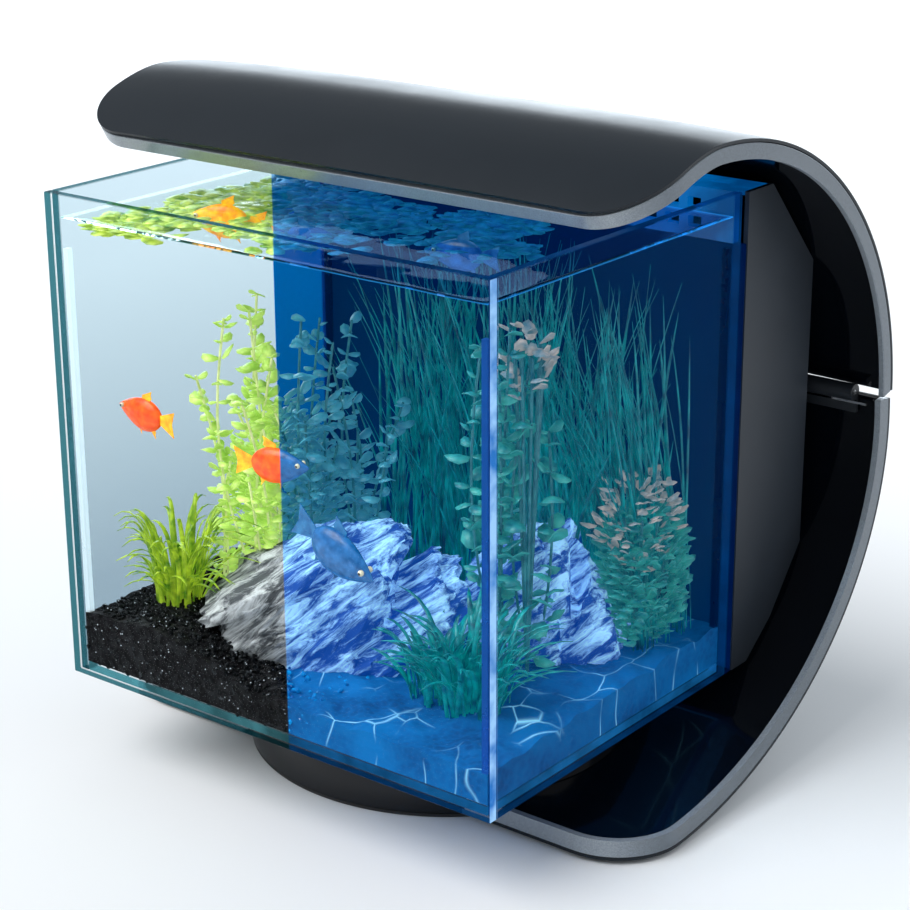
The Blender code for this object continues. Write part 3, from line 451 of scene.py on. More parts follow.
def makeFilm():
    # dark blue sheet, darker towards the top and brighter where it comes round on to the left pane; its
    # colour is also given as glow, so it glows as painted light
    material, tree, shader = newFinish("nightFilm", rough=0.6, level=0.0, glowStrength=0.8)
    parts = objectParts(tree)
    low = spread(tree, parts[2], 0.05, 0.26)
    cloud = addNoise(tree, objectPoint(tree), 9.0, 3.0)
    back = blendTones(tree, low, (0.0, 0.018, 0.075, 1), (0.0, 0.009, 0.052, 1))
    back = blendTones(tree, sums(tree, "MULTIPLY", cloud, 0.5), back, (0.0, 0.030, 0.10, 1))
    side = blendTones(tree, low, (0.0, 0.20, 0.60, 1), (0.0, 0.19, 0.58, 1))
    around = spread(tree, parts[0], -0.1334, -0.1332, 1.0, 0.0)
    tone = blendTones(tree, around, back, side)
    paint(tree, shader, tone=tone, glow=tone)
    return material


def makeLitGrille():
    # black moulding with the blue light of the lamp painted on, as colour and as glow
    material, tree, shader = newFinish("litGrille", rough=0.35, level=0.3, glowStrength=1.0)
    cloud = addNoise(tree, objectPoint(tree), 45.0, 4.0)
    factor = spread(tree, cloud, 0.35, 0.65)
    paint(tree, shader, tone=blendTones(tree, factor, (0.0, 0.02, 0.07, 1), (0.0, 0.05, 0.16, 1)))
    paint(tree, shader, glow=blendTones(tree, factor, (0.0, 0.045, 0.17, 1), (0.0, 0.11, 0.36, 1)))
    return material


def makeSponge():
    material, tree, shader = newFinish("filterSponge")
    cells = addNode(tree, "TexVoronoi", {"Vector": objectPoint(tree), "Scale": 700.0})
    paint(
        tree, shader,
        tone=blendTones(tree, cells.outputs["Distance"], (0.01, 0.03, 0.08, 1), (0.08, 0.2, 0.4, 1)),
    )
    paint(tree, shader, normal=bumps(tree, cells.outputs["Distance"], 0.8, 0.001))
    paint(tree, shader, rough=spread(tree, cells.outputs["Distance"], 0, 1, 0.8, 1.0))
    return material


def makeBoard(name, chip, strength):
    # green board with two rows of small square emitters
    material, tree, shader = newFinish(name, rough=0.35, glowStrength=strength)
    place = objectPoint(tree)
    dots = addNode(tree, "Mapping", {"Vector": place, "Scale": (70, 140, 1)})
    cell = addNode(
        tree, "TexVoronoi", {"Vector": dots.outputs[0], "Scale": 1.0, "Randomness": 0.0},
        voronoi_dimensions="2D", distance="CHEBYCHEV",
    )
    spot = spread(tree, cell.outputs["Distance"], 0.20, 0.18)
    paint(tree, shader, tone=blendTones(tree, spot, (0.01, 0.07, 0.03, 1), (0.85, 0.85, 0.7, 1)))
    paint(tree, shader, glow=blendTones(tree, spot, (0, 0, 0, 1), chip))
    return material


def makeLens():
    material, tree, shader = newFinish("lampLens", rough=0.25, glowStrength=1.2)
    wave = addNode(tree, "TexWave", {"Vector": objectPoint(tree), "Scale": 420.0})
    paint(tree, shader, tone=blendTones(tree, wave.outputs[0], (0.65, 0.78, 0.9, 1), (0.8, 0.9, 1, 1)))
    paint(tree, shader, glow=blendTones(tree, wave.outputs[0], (0.45, 0.65, 0.95, 1), (0.6, 0.8, 1, 1)))
    paint(tree, shader, normal=bumps(tree, wave.outputs[0], 0.3, 0.0003))
    return material


# ground, stone and life: two day tones, two night tones, pattern scale and gloss; the day and night tones are
# painted light, and glow of the same colour paints more light on them, by day and night for life and only by
# night for ground and stone
living = {
    "grassLeaf": {
        "day": ((0.025, 0.13, 0.004), (0.40, 0.56, 0.03)), "night": ((0.0, 0.06, 0.11), (0.0, 0.26, 0.27)),
        "scale": 170, "rough": 0.4,
    },
    "tallLeaf": {
        "day": ((0.07, 0.2, 0.02), (0.22, 0.42, 0.05)), "night": ((0.0, 0.035, 0.085), (0.0, 0.26, 0.30)),
        "scale": 90, "rough": 0.4,
    },
    "roundLeaf": {
        "day": ((0.24, 0.46, 0.05), (0.58, 0.78, 0.20)), "night": ((0.01, 0.13, 0.24), (0.05, 0.28, 0.38)),
        "scale": 110, "rough": 0.38,
    },
    "paleLeaf": {
        "day": ((0.4, 0.5, 0.2), (0.7, 0.75, 0.4)), "night": ((0.05, 0.16, 0.22), (0.40, 0.36, 0.35)),
        "scale": 180, "rough": 0.45,
    },
    "bushLeaf": {
        "day": ((0.2, 0.4, 0.1), (0.5, 0.7, 0.3)), "night": ((0.0, 0.10, 0.15), (0.03, 0.30, 0.29)),
        "scale": 120, "rough": 0.45,
    },
    "stemGreen": {
        "day": ((0.40, 0.50, 0.16), (0.66, 0.72, 0.36)), "night": ((0.0, 0.07, 0.12), (0.02, 0.16, 0.2)),
        "scale": 200, "rough": 0.5,
    },
    "floatLeaf": {
        "day": ((0.05, 0.20, 0.01), (0.62, 0.76, 0.14)), "night": ((0.0, 0.09, 0.20), (0.02, 0.30, 0.38)),
        "scale": 150, "rough": 0.35,
    },
    "fishSkin": {
        "day": ((0.70, 0.035, 0.002), (0.90, 0.13, 0.01)), "night": ((0.0, 0.06, 0.20), (0.02, 0.14, 0.38)),
        "scale": 260, "rough": 0.25,
    },
    "goldSkin": {
        "day": ((0.80, 0.22, 0.005), (0.95, 0.55, 0.02)), "night": ((0.0, 0.06, 0.20), (0.02, 0.16, 0.36)),
        "scale": 260, "rough": 0.25,
    },
}


def makeLiving(name):
    spec = living[name]
    material, tree, shader = newFinish(name, rough=spec["rough"], glowStrength=0.45)
    place = objectPoint(tree)
    patches = addNoise(tree, place, float(spec["scale"]), 4.0)
    factor = spread(tree, patches, 0.3, 0.7)
    tones = {}
    for part in ("day", "night"):
        dark, light = ((*tone, 1) for tone in spec[part])
        tones[part] = blendTones(tree, factor, dark, light)
    # painted light: the day or night tone, given also as glow, so the leaves and fish glow
    both = dayNight(tree, tones["day"], tones["night"])
    paint(tree, shader, tone=both, glow=both)
    fine = addNoise(tree, place, spec["scale"] * 8.0)
    paint(tree, shader, normal=bumps(tree, fine, 0.3, 0.0004))
    return material


def makeStone():
    material, tree, shader = newFinish("slateStone", rough=0.8, glowStrength=0.55)
    place = objectPoint(tree)
    level = addNode(tree, "Mapping", {"Vector": place, "Rotation": (0.15, 0.75, 0.1)})
    turned = addNode(tree, "Mapping", {"Vector": level.outputs[0], "Scale": (24, 80, 170)})
    streaksAndShade = addNoise(tree, turned.outputs[0], 1.0, 9.0, 0.72, 0.6)
    factor = spread(tree, streaksAndShade, 0.45, 0.59)
    # the streaks are the slate's layers and paint its shade and highlights too; the night tones are painted
    # blue light and glow
    day = blendTones(tree, factor, (0.06, 0.07, 0.08, 1), (0.66, 0.70, 0.72, 1))
    night = blendTones(tree, factor, (0.0, 0.055, 0.30, 1), (0.30, 0.62, 0.95, 1))
    both = dayNight(tree, day, night)
    paint(tree, shader, tone=both, glow=dayNight(tree, (0, 0, 0, 1), both))
    paint(tree, shader, normal=bumps(tree, streaksAndShade, 0.9, 0.003))
    return material


def makeGround():
    material, tree, shader = newFinish("groundBed", rough=0.8, level=0.15, glowStrength=1.0)
    place = objectPoint(tree)
    grains = addNode(tree, "TexVoronoi", {"Vector": place, "Scale": 330.0})
    day = blendTones(
        tree, spread(tree, grains.outputs["Color"], 0.45, 0.8), (0.001, 0.001, 0.002, 1),
        (0.012, 0.013, 0.015, 1),
    )
    clouds = addNoise(tree, place, 28.0, 4.0)
    # painted light: by night the ground is tinted blue
    night = blendTones(tree, spread(tree, clouds, 0.35, 0.65), (0.0, 0.045, 0.17, 1), (0.0, 0.11, 0.34, 1))
    speck = spread(tree, grains.outputs["Distance"], 0.3, 0.7, 0.0, 0.3)
    night = blendTones(tree, speck, night, (0.0, 0.12, 0.36, 1))
    both = addGroup(tree, "dayNight", {"Day": day, "Night": night})
    # painted light: the net of light is laid on the night side as colour, and the night side glows
    light = addGroup(tree, "lightNet", {"Scale": 38.0, "Width": 0.030})["Light"]
    lit = sums(tree, "MULTIPLY", light, both["Night part"])
    paint(tree, shader, tone=blendTones(tree, lit, both["Color"], (0.25, 0.55, 0.75, 1)))
    dim = blendTones(tree, 0.3, (0, 0, 0, 1), night)
    shine = blendTones(tree, lit, dim, (0.12, 0.36, 0.52, 1))
    paint(tree, shader, glow=dayNight(tree, (0, 0, 0, 1), shine))
    height = sums(
        tree, "MULTIPLY", grains.outputs["Distance"], spread(tree, both["Night part"], 0, 1, 1.0, 0.25),
    )
    paint(tree, shader, normal=bumps(tree, height, 0.6, 0.0012))
    return material


def makeGrit():
    material, tree, shader = newFinish("blackGrit", level=0.12, glowStrength=0.5)
    place = objectPoint(tree)
    each = addNoise(tree, place, 260.0)
    day = blendTones(tree, spread(tree, each, 0.60, 0.78), (0.001, 0.002, 0.003, 1), (0.06, 0.07, 0.08, 1))
    # painted light: by night the grit is blue and glows
    night = blendTones(tree, spread(tree, each, 0.35, 0.7), (0.0, 0.05, 0.22, 1), (0.0, 0.2, 0.5, 1))
    both = dayNight(tree, day, night)
    dots = addNode(tree, "TexVoronoi", {"Vector": place, "Scale": 420.0})
    speck = spread(tree, dots.outputs["Distance"], 0.17, 0.12)
    paint(tree, shader, tone=blendTones(tree, speck, both, (0.55, 0.62, 0.68, 1)))
    paint(tree, shader, glow=dayNight(tree, (0, 0, 0, 1), night))
    paint(tree, shader, rough=spread(tree, each, 0.3, 0.7, 0.45, 0.8))
    return material


def makeEye():
    # a pale ring, and a pupil with faces of its own
    white = newFinish("eyeWhite", tone=(0.8, 0.75, 0.55, 1), rough=0.1, coat=1.0)[0]
    black = newFinish("eyeBlack", tone=(0.002, 0.002, 0.003, 1), rough=0.05, coat=1.0)[0]
    return white, black


finishes = {name: makePlastic(name) for name in plastics}
finishes.update({name: makeLiving(name) for name in living})
finishes.update(
    silver=makeSilver(),
    steel=makeMetal("brushedSteel", (0.56, 0.58, 0.60), 0.28),
    bright=makeMetal("brightStrip", (0.85, 0.88, 0.92), 0.10),
    frontGlass=makeGlass("frontGlass", (0, 1, 0)),
    rearGlass=makeGlass("rearGlass", (0, 1, 0), paintedEdgeLight="rear"), sideGlass=makeGlass("sideGlass", (1, 0, 0)),
    leftGlass=makeGlass("leftGlass", (1, 0, 0), shaded=True),
    floorGlass=makeGlass("floorGlass", (0, 0, 1), paintedEdgeLight="foot"),
    silicone=makeSilicone(), water=makeWater(), film=makeFilm(), litGrille=makeLitGrille(),
    sponge=makeSponge(), lens=makeLens(), stone=makeStone(), ground=makeGround(),
    grit=makeGrit(), whiteBoard=makeBoard("whiteBoard", (1, 0.95, 0.85, 1), 2.0),
    blueBoard=makeBoard("blueBoard", (0.05, 0.25, 1, 1), 2.0),
    driverBoard=makeBoard("driverBoard", (0, 0, 0, 1), 0.0),
)
finishes["eyeWhite"], finishes["eyeBlack"] = makeEye()
print("finishes made:", len(finishes))

# which finish each carried-over node takes
nodeFinishes = {
    "frontGlass": ["tank_front_pane"],
    "rearGlass": ["tank_rear_pane"],
    "sideGlass": ["tank_right_pane"],
    "leftGlass": ["tank_left_pane"],
    "floorGlass": ["tank_bottom_pane"],
    "silicone": ["silicone_seams"],
    "film": ["background_film"],
    "slateGrey": ["column_side_panel_right", "column_side_panel_left"],
    "glossBlack": ["column_back_cover", "lamp_tray", "lamp_cover"],
    "mattBlack": [
        "column_divider", "basket_shelf", "filter_basket", "pump_body", "pump_intake_cover",
        "outlet_riser", "outlet_nozzle", "hood_hinge_leaf", "stand_hinge_leaf_right", "stand_hinge_leaf_left",
        "mode_switch",
        "lamp_spacer_right", "lamp_spacer_left",
    ],
    "litGrille": ["overflow_grille", "column_top_plate"],
    "rubberBlack": ["rubber_foot_right", "rubber_foot_left", "pump_cradle", "cable_gland"],
    "foamBlack": ["cushion_mat"],
    "sponge": ["filter_sponge"],
    "whiteMoulding": ["impeller"],
    "silver": ["mode_button"],
    "steel": ["hinge_pin", "impeller_shaft", "ballast_plate_right", "ballast_plate_left"],
    "bright": ["hinge_trim_strip"],
    "lens": ["lamp_lens"],
    "whiteBoard": ["white_led_board"],
    "blueBoard": ["blue_led_board"],
    "driverBoard": ["lamp_driver_board"],
}
for finish, nodes in nodeFinishes.items():
    for node in nodes:
        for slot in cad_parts[node].material_slots:
            slot.material = finishes[finish]


# making pieces

def finishPiece(name, bm, finish, body=stand, smooth=None, recalc=True, extra=()):
    if recalc:
        bmesh.ops.recalc_face_normals(bm, faces=bm.faces)
    mesh = bpy.data.meshes.new(name)
    bm.to_mesh(mesh)
    bm.free()
    piece = bpy.data.objects.new(name, mesh)
    bpy.context.scene.collection.objects.link(piece)
    for each in (finish, *extra):
        mesh.materials.append(finishes[each])
    if smooth is not None:
        mesh.shade_smooth()
        mesh.set_sharp_from_angle(angle=math.radians(smooth))
    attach(piece, body)
    return piece


def addWall(piece, thickness, even=True):
    wall = piece.modifiers.new("wall", "SOLIDIFY")
    wall.thickness = thickness
    wall.offset = -1
    wall.use_even_offset = even
    return piece


def addRound(piece, width, segments=2):
    edge = piece.modifiers.new("edge", "BEVEL")
    edge.width = width
    edge.segments = segments
    edge.limit_method = "ANGLE"
    edge.angle_limit = math.radians(40)
    edge.harden_normals = True
    return piece


def carve(piece, bm):
    # cuts a shape out of a piece and keeps the result as its mesh
    bmesh.ops.recalc_face_normals(bm, faces=bm.faces)
    mesh = bpy.data.meshes.new("cutter")
    bm.to_mesh(mesh)
    bm.free()
    cutter = bpy.data.objects.new("cutter", mesh)
    bpy.context.scene.collection.objects.link(cutter)
    cut = piece.modifiers.new("cut", "BOOLEAN")
    cut.operation = "DIFFERENCE"
    cut.solver = "EXACT"
    cut.object = cutter
    graph = bpy.context.evaluated_depsgraph_get()
    result = bpy.data.meshes.new_from_object(piece.evaluated_get(graph))
    piece.modifiers.clear()
    piece.data = result
    bpy.data.objects.remove(cutter)
    return piece


def addCopy(bm, mesh, matrix):
    mesh.transform(matrix)
    bm.from_mesh(mesh)
    mesh.transform(matrix.inverted())


def orderedVerts(bm, columns):
    spots = sorted(bm.verts, key=lambda vert: (round(vert.co.y, 6), vert.co.x))
    return [spots[start : start + columns + 1] for start in range(0, len(spots), columns + 1)]


# the arch: two arms that follow ellipses, the upper one with a nose that turns down
arch = {
    "half": 0.170, "crown": 0.0025, "crownPower": 4, "crownFade": 0.070, "skin": 0.0015, "liner": 0.0015,
    "trimWidth": 0.0032,
    "gap": 0.0003, "thin": 0.0005, "notch": 12.5, "columns": 44, "trimEnd": 0.05,
}
hinge = {"y": 0.13465, "z": 0.1775}
hoodArm = {
    "centre": (-0.02945, 0.1735), "radii": (0.1725, 0.1606), "front": -0.09235, "corner": 0.032,
    "drop": 0.0225, "power": 1.7,
    "trim": 0.0075, "deep": 0.0055, "from": 0.060, "over": 0.030, "start": 0.0022, "body": "hood",
}
standArm = {
    "centre": (-0.05405, 0.1612), "radii": (0.1958, 0.1576), "front": -0.0837, "corner": 0.036,
    "trim": 0.0085, "deep": 0.0065,
    "from": 0.056, "over": 0.026, "start": -0.0022, "body": stand,
}
drum = {
    "radius": 0.105, "y": -0.00585, "low": 0.0021, "high": 0.0418, "wall": 0.003, "room": 0.0006,
    "segments": 160, "edge": 0.0012, "hole": 0.02, "footInner": 0.095, "footTop": 0.0018, "footIn": 0.0005,
    "round": 0.0004,
}


def easeIn(value):
    value = min(max(value, 0.0), 1.0)
    return value * value * (3 - 2 * value)


def halfAt(y, front, corner, half):
    into = min(max(front + corner - y, 0.0), corner)
    return half - corner + math.sqrt(corner**2 - into**2)


def armRows(arm, inset=0.0, start=0.0, steps=72):
    # (y, z, half width) from the hinge to the front edge
    (cy, cz), (ry, rz) = arm["centre"], arm["radii"]
    half, front, corner = arch["half"] - inset, arm["front"] + inset, arm["corner"] - inset
    upper = "drop" in arm
    first = math.asin((hinge["z"] + start - cz) / rz)
    last = math.pi / 2 if upper else -math.pi / 2
    rows = []
    for step in range(steps + 1):
        angle = first + (last - first) * step / steps
        y = cy + ry * math.cos(angle)
        rows.append((y, cz + rz * math.sin(angle), halfAt(y, front, corner, half)))
    into = 0.0 if upper else math.asin((front + corner - cy) / corner) if front + corner > cy else 0.0
    crest = cz + rz
    if upper:
        for y in [cy - (cy - front - corner) * part / 6 for part in range(1, 6)]:
            rows.append((y, noseHeight(arm, y, crest), half))
    for step in range(1 if into else 0, 25):
        angle = into + (math.pi / 2 - into) * step / 24
        y = front + corner * (1 - math.sin(angle))
        z = noseHeight(arm, y, crest) if upper else cz - rz
        rows.append((y, z, half - corner * (1 - math.cos(angle))))
    return rows


def noseHeight(arm, y, crest):
    back = arm["centre"][0]
    return crest - arm["drop"] * ((back - y) / (back - arm["front"])) ** arm["power"]


def rowNormals(rows, arm):
    side = 1 if "drop" in arm else -1
    normals = []
    for index in range(len(rows)):
        before, after = rows[max(index - 1, 0)], rows[min(index + 1, len(rows) - 1)]
        along = Vector((0, after[0] - before[0], after[1] - before[1])).normalized()
        normals.append(Vector((0, side * along.z, -side * along.y)))
    return normals


def archPoint(row, normal, across, offset, crowned=True):
    if crowned:
        share = 1 - abs(across * row[2] / arch["half"]) ** arch["crownPower"]
        offset += arch["crown"] * share * easeIn((row[1] - 0.004) / arch["crownFade"])
    return Vector((across * row[2], row[0], row[1])) + normal * offset


def archSheet(name, arm, rows, offsetOf, finish, thickness):
    bm = bmesh.new()
    columns = arch["columns"]
    bmesh.ops.create_grid(bm, x_segments=columns, y_segments=len(rows) - 1, size=1)
    for row, normal, line in zip(rows, rowNormals(rows, arm), orderedVerts(bm, columns)):
        for vert in line:
            across = math.sin(vert.co.x * math.pi / 2) * 0.35 + vert.co.x * 0.65
            vert.co = archPoint(row, normal, across, offsetOf(row))
    cutNotch(bm, arm)
    faceOut(bm)
    piece = finishPiece(name, bm, finish, arm["body"], smooth=50, recalc=False)
    return addWall(piece, thickness)


def faceOut(bm):
    # an open sheet shows its outer side away from the middle of the arch
    bmesh.ops.recalc_face_normals(bm, faces=bm.faces)
    middle = Vector((0, -0.03, 0.165))
    outward = 0.0
    for face in bm.faces:
        outward += (face.calc_center_median() - middle).normalized().dot(face.normal) * face.calc_area()
    if outward < 0:
        bmesh.ops.reverse_faces(bm, faces=bm.faces)


def cutNotch(bm, arm, fill=False):
    tilt = math.radians(arch["notch"])
    normal = (0, -math.sin(tilt), math.cos(tilt) if "drop" in arm else -math.cos(tilt))
    place = (0, hinge["y"], hinge["z"])
    everything = bm.verts[:] + bm.edges[:] + bm.faces[:]
    bmesh.ops.bisect_plane(bm, geom=everything, plane_co=place, plane_no=normal, clear_inner=True)
    if fill:
        bmesh.ops.holes_fill(bm, edges=[edge for edge in bm.edges if edge.is_boundary], sides=0)


def linerDepth(arm):
    def depth(row):
        share = easeIn((arm["from"] - row[0]) / arm["over"])
        if "drop" in arm and row[1] < arm["centre"][1]:
            share = 0.0
        return -(arch["thin"] + (arm["deep"] - arch["thin"]) * share)
    return depth


def edgeTrim(name, arm, sides):
    # a band along one side, or round both and the lip
    outer, inner = armRows(arm), armRows(arm, arch["trimWidth"])
    normals = rowNormals(outer, arm)
    pairs = []
    for sign in sides:
        part = []
        for *pair, normal in zip(outer, inner, normals):
            part.append([archPoint(row, normal, sign, -arch["gap"], False) for row in pair])
        if len(sides) == 1:
            part.append([Vector((sign * arch["trimEnd"], point.y, point.z)) for point in part[-1]])
        pairs.extend(part if sign == sides[0] else reversed(part))
    bm = bmesh.new()
    bmesh.ops.create_grid(bm, x_segments=1, y_segments=len(pairs) - 1, size=1)
    for pair, line in zip(pairs, orderedVerts(bm, 1)):
        line[0].co, line[1].co = pair
    faceOut(bm)
    bmesh.ops.solidify(bm, geom=bm.faces[:], thickness=arm["trim"])
    cutNotch(bm, arm, fill=True)
    return finishPiece(name, bm, "silver", arm["body"], smooth=35)


def drumHole():
    # the round hole in which the pedestal stands
    radius, depth = drum["radius"] + drum["room"], 0.07
    bm = bmesh.new()
    bmesh.ops.create_cone(
        bm, cap_ends=True, segments=drum["segments"], radius1=radius, radius2=radius, depth=depth,
    )
    bmesh.ops.translate(bm, vec=(0, drum["y"], depth / 2 - 0.01), verts=bm.verts)
    return bm


def makeArch():
    for arm, names in (
        (hoodArm, ("hood_outer_shell", "hood_inner_liner")),
        (standArm, ("stand_outer_shell", "stand_inner_liner")),
    ):
        kind = "hood" if arm is hoodArm else "stand"
        skin = archSheet(
            kind + "Shell", arm, armRows(arm), lambda row: arch["skin"], "hoodSatin", arch["skin"],
        )
        rows = armRows(arm, arch["trimWidth"] + arch["gap"], arm["start"])
        liner = archSheet(kind + "Liner", arm, rows, linerDepth(arm), "glossBlack", arch["liner"])
        for piece, node in zip((skin, liner), names):
            if arm is standArm:
                carve(piece, drumHole())
            addRound(piece, 0.0004)
            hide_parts(node)
    trim = edgeTrim("hoodTrim", hoodArm, (1, -1))
    addRound(trim, 0.0005)
    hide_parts("hood_edge_trim")
    for name, sign in (("right", 1), ("left", -1)):
        trim = edgeTrim("standTrim" + name.capitalize(), standArm, (sign,))
        carve(trim, drumHole())
        addRound(trim, 0.0005)
        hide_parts("stand_edge_trim_" + name)


def spinRing(name, profile, finish):
    # a closed (radius, z) outline turned once about the pedestal's axis
    bm = bmesh.new()
    verts = [bm.verts.new((radius, 0, z)) for radius, z in profile]
    edges = [bm.edges.new((verts[index - 1], verts[index])) for index in range(len(verts))]
    turn = {"cent": (0, 0, 0), "axis": (0, 0, 1), "angle": math.tau, "steps": drum["segments"]}
    bmesh.ops.spin(bm, geom=verts + edges, use_merge=True, **turn)
    bmesh.ops.translate(bm, vec=(0, drum["y"], 0), verts=bm.verts)
    return finishPiece(name, bm, finish, smooth=35)


def makePedestal():
    outer, inner = drum["radius"], drum["radius"] - drum["wall"]
    low, high = drum["low"], drum["high"]
    edge, top, hole, bend = drum["edge"], drum["high"] - drum["wall"], drum["hole"], drum["round"]
    profile = [
        (outer - bend, low), (outer, low + bend), (outer, high - edge),
        (outer - edge * 0.3, high - edge * 0.3), (outer - edge, high),
        (hole, high), (hole, top), (inner, top), (inner, low),
    ]
    body = spinRing("pedestalDrum", profile, "glossBlack")
    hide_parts("pedestal_drum")
    inner, side, top = drum["footInner"], outer - drum["footIn"], drum["footTop"]
    ring = [(inner, 0.0), (side - bend, 0.0), (side, bend), (side, top), (inner, top)]
    foot = spinRing("pedestalFoot", ring, "rubberBlack")
    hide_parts("pedestal_foot_ring")


makeArch()
makePedestal()
print("arch and pedestal made")

# the tank's inside, and what stands in it
tank = {"x": 0.1279, "front": -0.1414, "rear": 0.0506, "floor": 0.0498, "water": 0.2815}


bedShape = {
    "low": 0.015, "rise": 0.006, "mound": 0.014, "moundX": -0.085, "half": 0.133, "edge": -0.005,
    "fade": 0.07,
}


def bedHeight(x, y):
    # a mound of black gravel at the front left, lower ground to the right
    left = easeIn((bedShape["edge"] - x) / bedShape["fade"])
    back = (y - tank["front"]) / (tank["rear"] - tank["front"])
    mound = bedShape["mound"] * left * (1 - abs(x - bedShape["moundX"]) / bedShape["half"] * 0.6)
    return bedShape["low"] + bedShape["rise"] * back + mound * (1 - 0.5 * back)


def overTank(vert):
    # where a corner of a grid of half size 1 comes in the tank
    middle, deep = (tank["front"] + tank["rear"]) / 2, (tank["rear"] - tank["front"]) / 2
    return vert.co.x * tank["x"], middle + vert.co.y * deep


def layGround():
    bm = bmesh.new()
    bmesh.ops.create_grid(bm, x_segments=110, y_segments=84, size=1)
    for vert in bm.verts:
        x, y = overTank(vert)
        rough = noise.fractal(Vector((x, y, 0)) * 45, 1.0, 2.0, 3) * 0.0022
        ripple = math.sin((x * 0.8 + y) * 260 + noise.noise(Vector((x, y, 0.3)) * 30) * 4) * 0.0005
        vert.co = Vector((x, y, tank["floor"] + bedHeight(x, y) + rough + ripple))
    skirt = bmesh.ops.extrude_face_region(bm, geom=bm.faces[:])
    for item in skirt["geom"]:
        if isinstance(item, bmesh.types.BMVert):
            item.co.z = tank["floor"]
    bed = finishPiece("groundBed", bm, "ground", smooth=50)
    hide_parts("gravel_bed")


grit = {"count": 5200, "size": (0.0010, 0.0022), "seed": 11}


def scatterGrit():
    # loose grains on the mound and pressed against the glass
    dice = random.Random(grit["seed"])
    one = bmesh.new()
    bmesh.ops.create_icosphere(one, subdivisions=1, radius=1)
    grain = bpy.data.meshes.new("grain")
    one.to_mesh(grain)
    one.free()
    bm = bmesh.new()
    for index in range(grit["count"]):
        x = -0.125 + 0.150 * dice.random() ** 1.1
        if index % 4 == 0:
            y = tank["front"] + 0.001
            z = tank["floor"] + bedHeight(x, y) * dice.random()
        elif index % 9 == 1:
            x, y = -tank["x"] + 0.001, dice.uniform(tank["front"], 0.0)
            z = tank["floor"] + bedHeight(x, y) * dice.random()
        else:
            y = dice.uniform(tank["front"] + 0.002, -0.04)
            z = tank["floor"] + bedHeight(x, y) + dice.uniform(-0.0006, 0.0012)
        if x - split["x"] + split["slope"] * (y + split["y"]) > 0.002 and dice.random() < 0.9:
            continue
        size = dice.uniform(*grit["size"])
        turn = Matrix.Rotation(dice.uniform(0, 6.28), 4, "X") @ Matrix.Rotation(dice.uniform(0, 6.28), 4, "Z")
        squash = Matrix.Diagonal((size, size * dice.uniform(0.6, 0.9), size * dice.uniform(0.5, 0.8), 1))
        addCopy(bm, grain, Matrix.Translation((x, y, z)) @ turn @ squash)
    bpy.data.meshes.remove(grain)
    finishPiece("looseGrit", bm, "grit", smooth=None, recalc=False)


stones = {
    "large_stone": {
        "centre": (-0.018, -0.078, 0.082), "size": (0.078, 0.036, 0.036), "tilt": (14, -24, 14),
        "layers": (-0.55, -0.2, 0.8), "slip": (0.8, 0, 0.6), "seed": 3.0, "detail": 6,
    },
    "small_stone": {
        "centre": (0.070, -0.014, 0.080), "size": (0.032, 0.026, 0.042), "tilt": (10, -30, 28),
        "layers": (-0.6, -0.3, 0.75), "slip": (0.7, 0, 0.7), "seed": 9.0, "detail": 6,
    },
}


def shapeStones():
    for name, spec in stones.items():
        bm = bmesh.new()
        bmesh.ops.create_icosphere(bm, subdivisions=spec["detail"], radius=1)
        turns = [Matrix.Rotation(math.radians(turn), 3, axis) for turn, axis in zip(spec["tilt"], "XYZ")]
        tilt = turns[2] @ turns[1] @ turns[0]
        seed = Vector((spec["seed"], 0, 0))
        across = Vector(spec["layers"]).normalized()
        along = Vector(spec["slip"]).normalized()
        for vert in bm.verts:
            way = vert.co.normalized()
            boxy = way / max(abs(way.x), abs(way.y), abs(way.z))
            place = way.lerp(boxy, 0.4)
            level = place.dot(across) * 4.2 + noise.noise(place * 1.4 + seed) * 1.1
            slab = math.floor(level)
            part = easeIn((level - slab) * 4)
            slips = [noise.noise(Vector((slab + step, spec["seed"] * 3.7, 0.5))) for step in (-1, 0)]
            slip = slips[0] + (slips[1] - slips[0]) * part
            big = noise.fractal(place * 1.4 + seed, 0.9, 2.1, 4) * 0.16
            thin = Vector((place.dot(along) * 2.0, place.y * 3.0, place.dot(across) * 16.0)) + seed
            chips = noise.fractal(thin, 0.9, 2.1, 4) * 0.035
            place = place * (1 + big + chips) + along * slip * 0.75 + across * (0.07 * part)
            sized = Vector([place[axis] * spec["size"][axis] for axis in range(3)])
            vert.co = tilt @ sized + Vector(spec["centre"])
            vert.co.z = max(vert.co.z, tank["floor"] + 0.0003)
        stone = finishPiece("slate_" + name, bm, "stone", smooth=40)
        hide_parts(name)


layGround()
scatterGrit()
shapeStones()
print("ground and stones made")


# plants

# how far leaves may go before they touch the glass, and how deep a root starts
growth = {
    "side": 0.125, "front": 0.004, "bushSide": 0.1225, "bushRear": 0.046, "leafSide": 0.1275,
    "grassSide": 0.122, "grassRear": 0.047, "sink": 0.003, "stem": 0.0007, "twig": 0.0008,
}


def shake(dice, across, deep):
    return Vector((dice.uniform(-across, across), dice.uniform(-deep, deep), 0))


def finishLeaves(name, bm, finish, thickness):
    addWall(finishPiece(name, bm, finish, smooth=60, recalc=False), thickness, even=False)


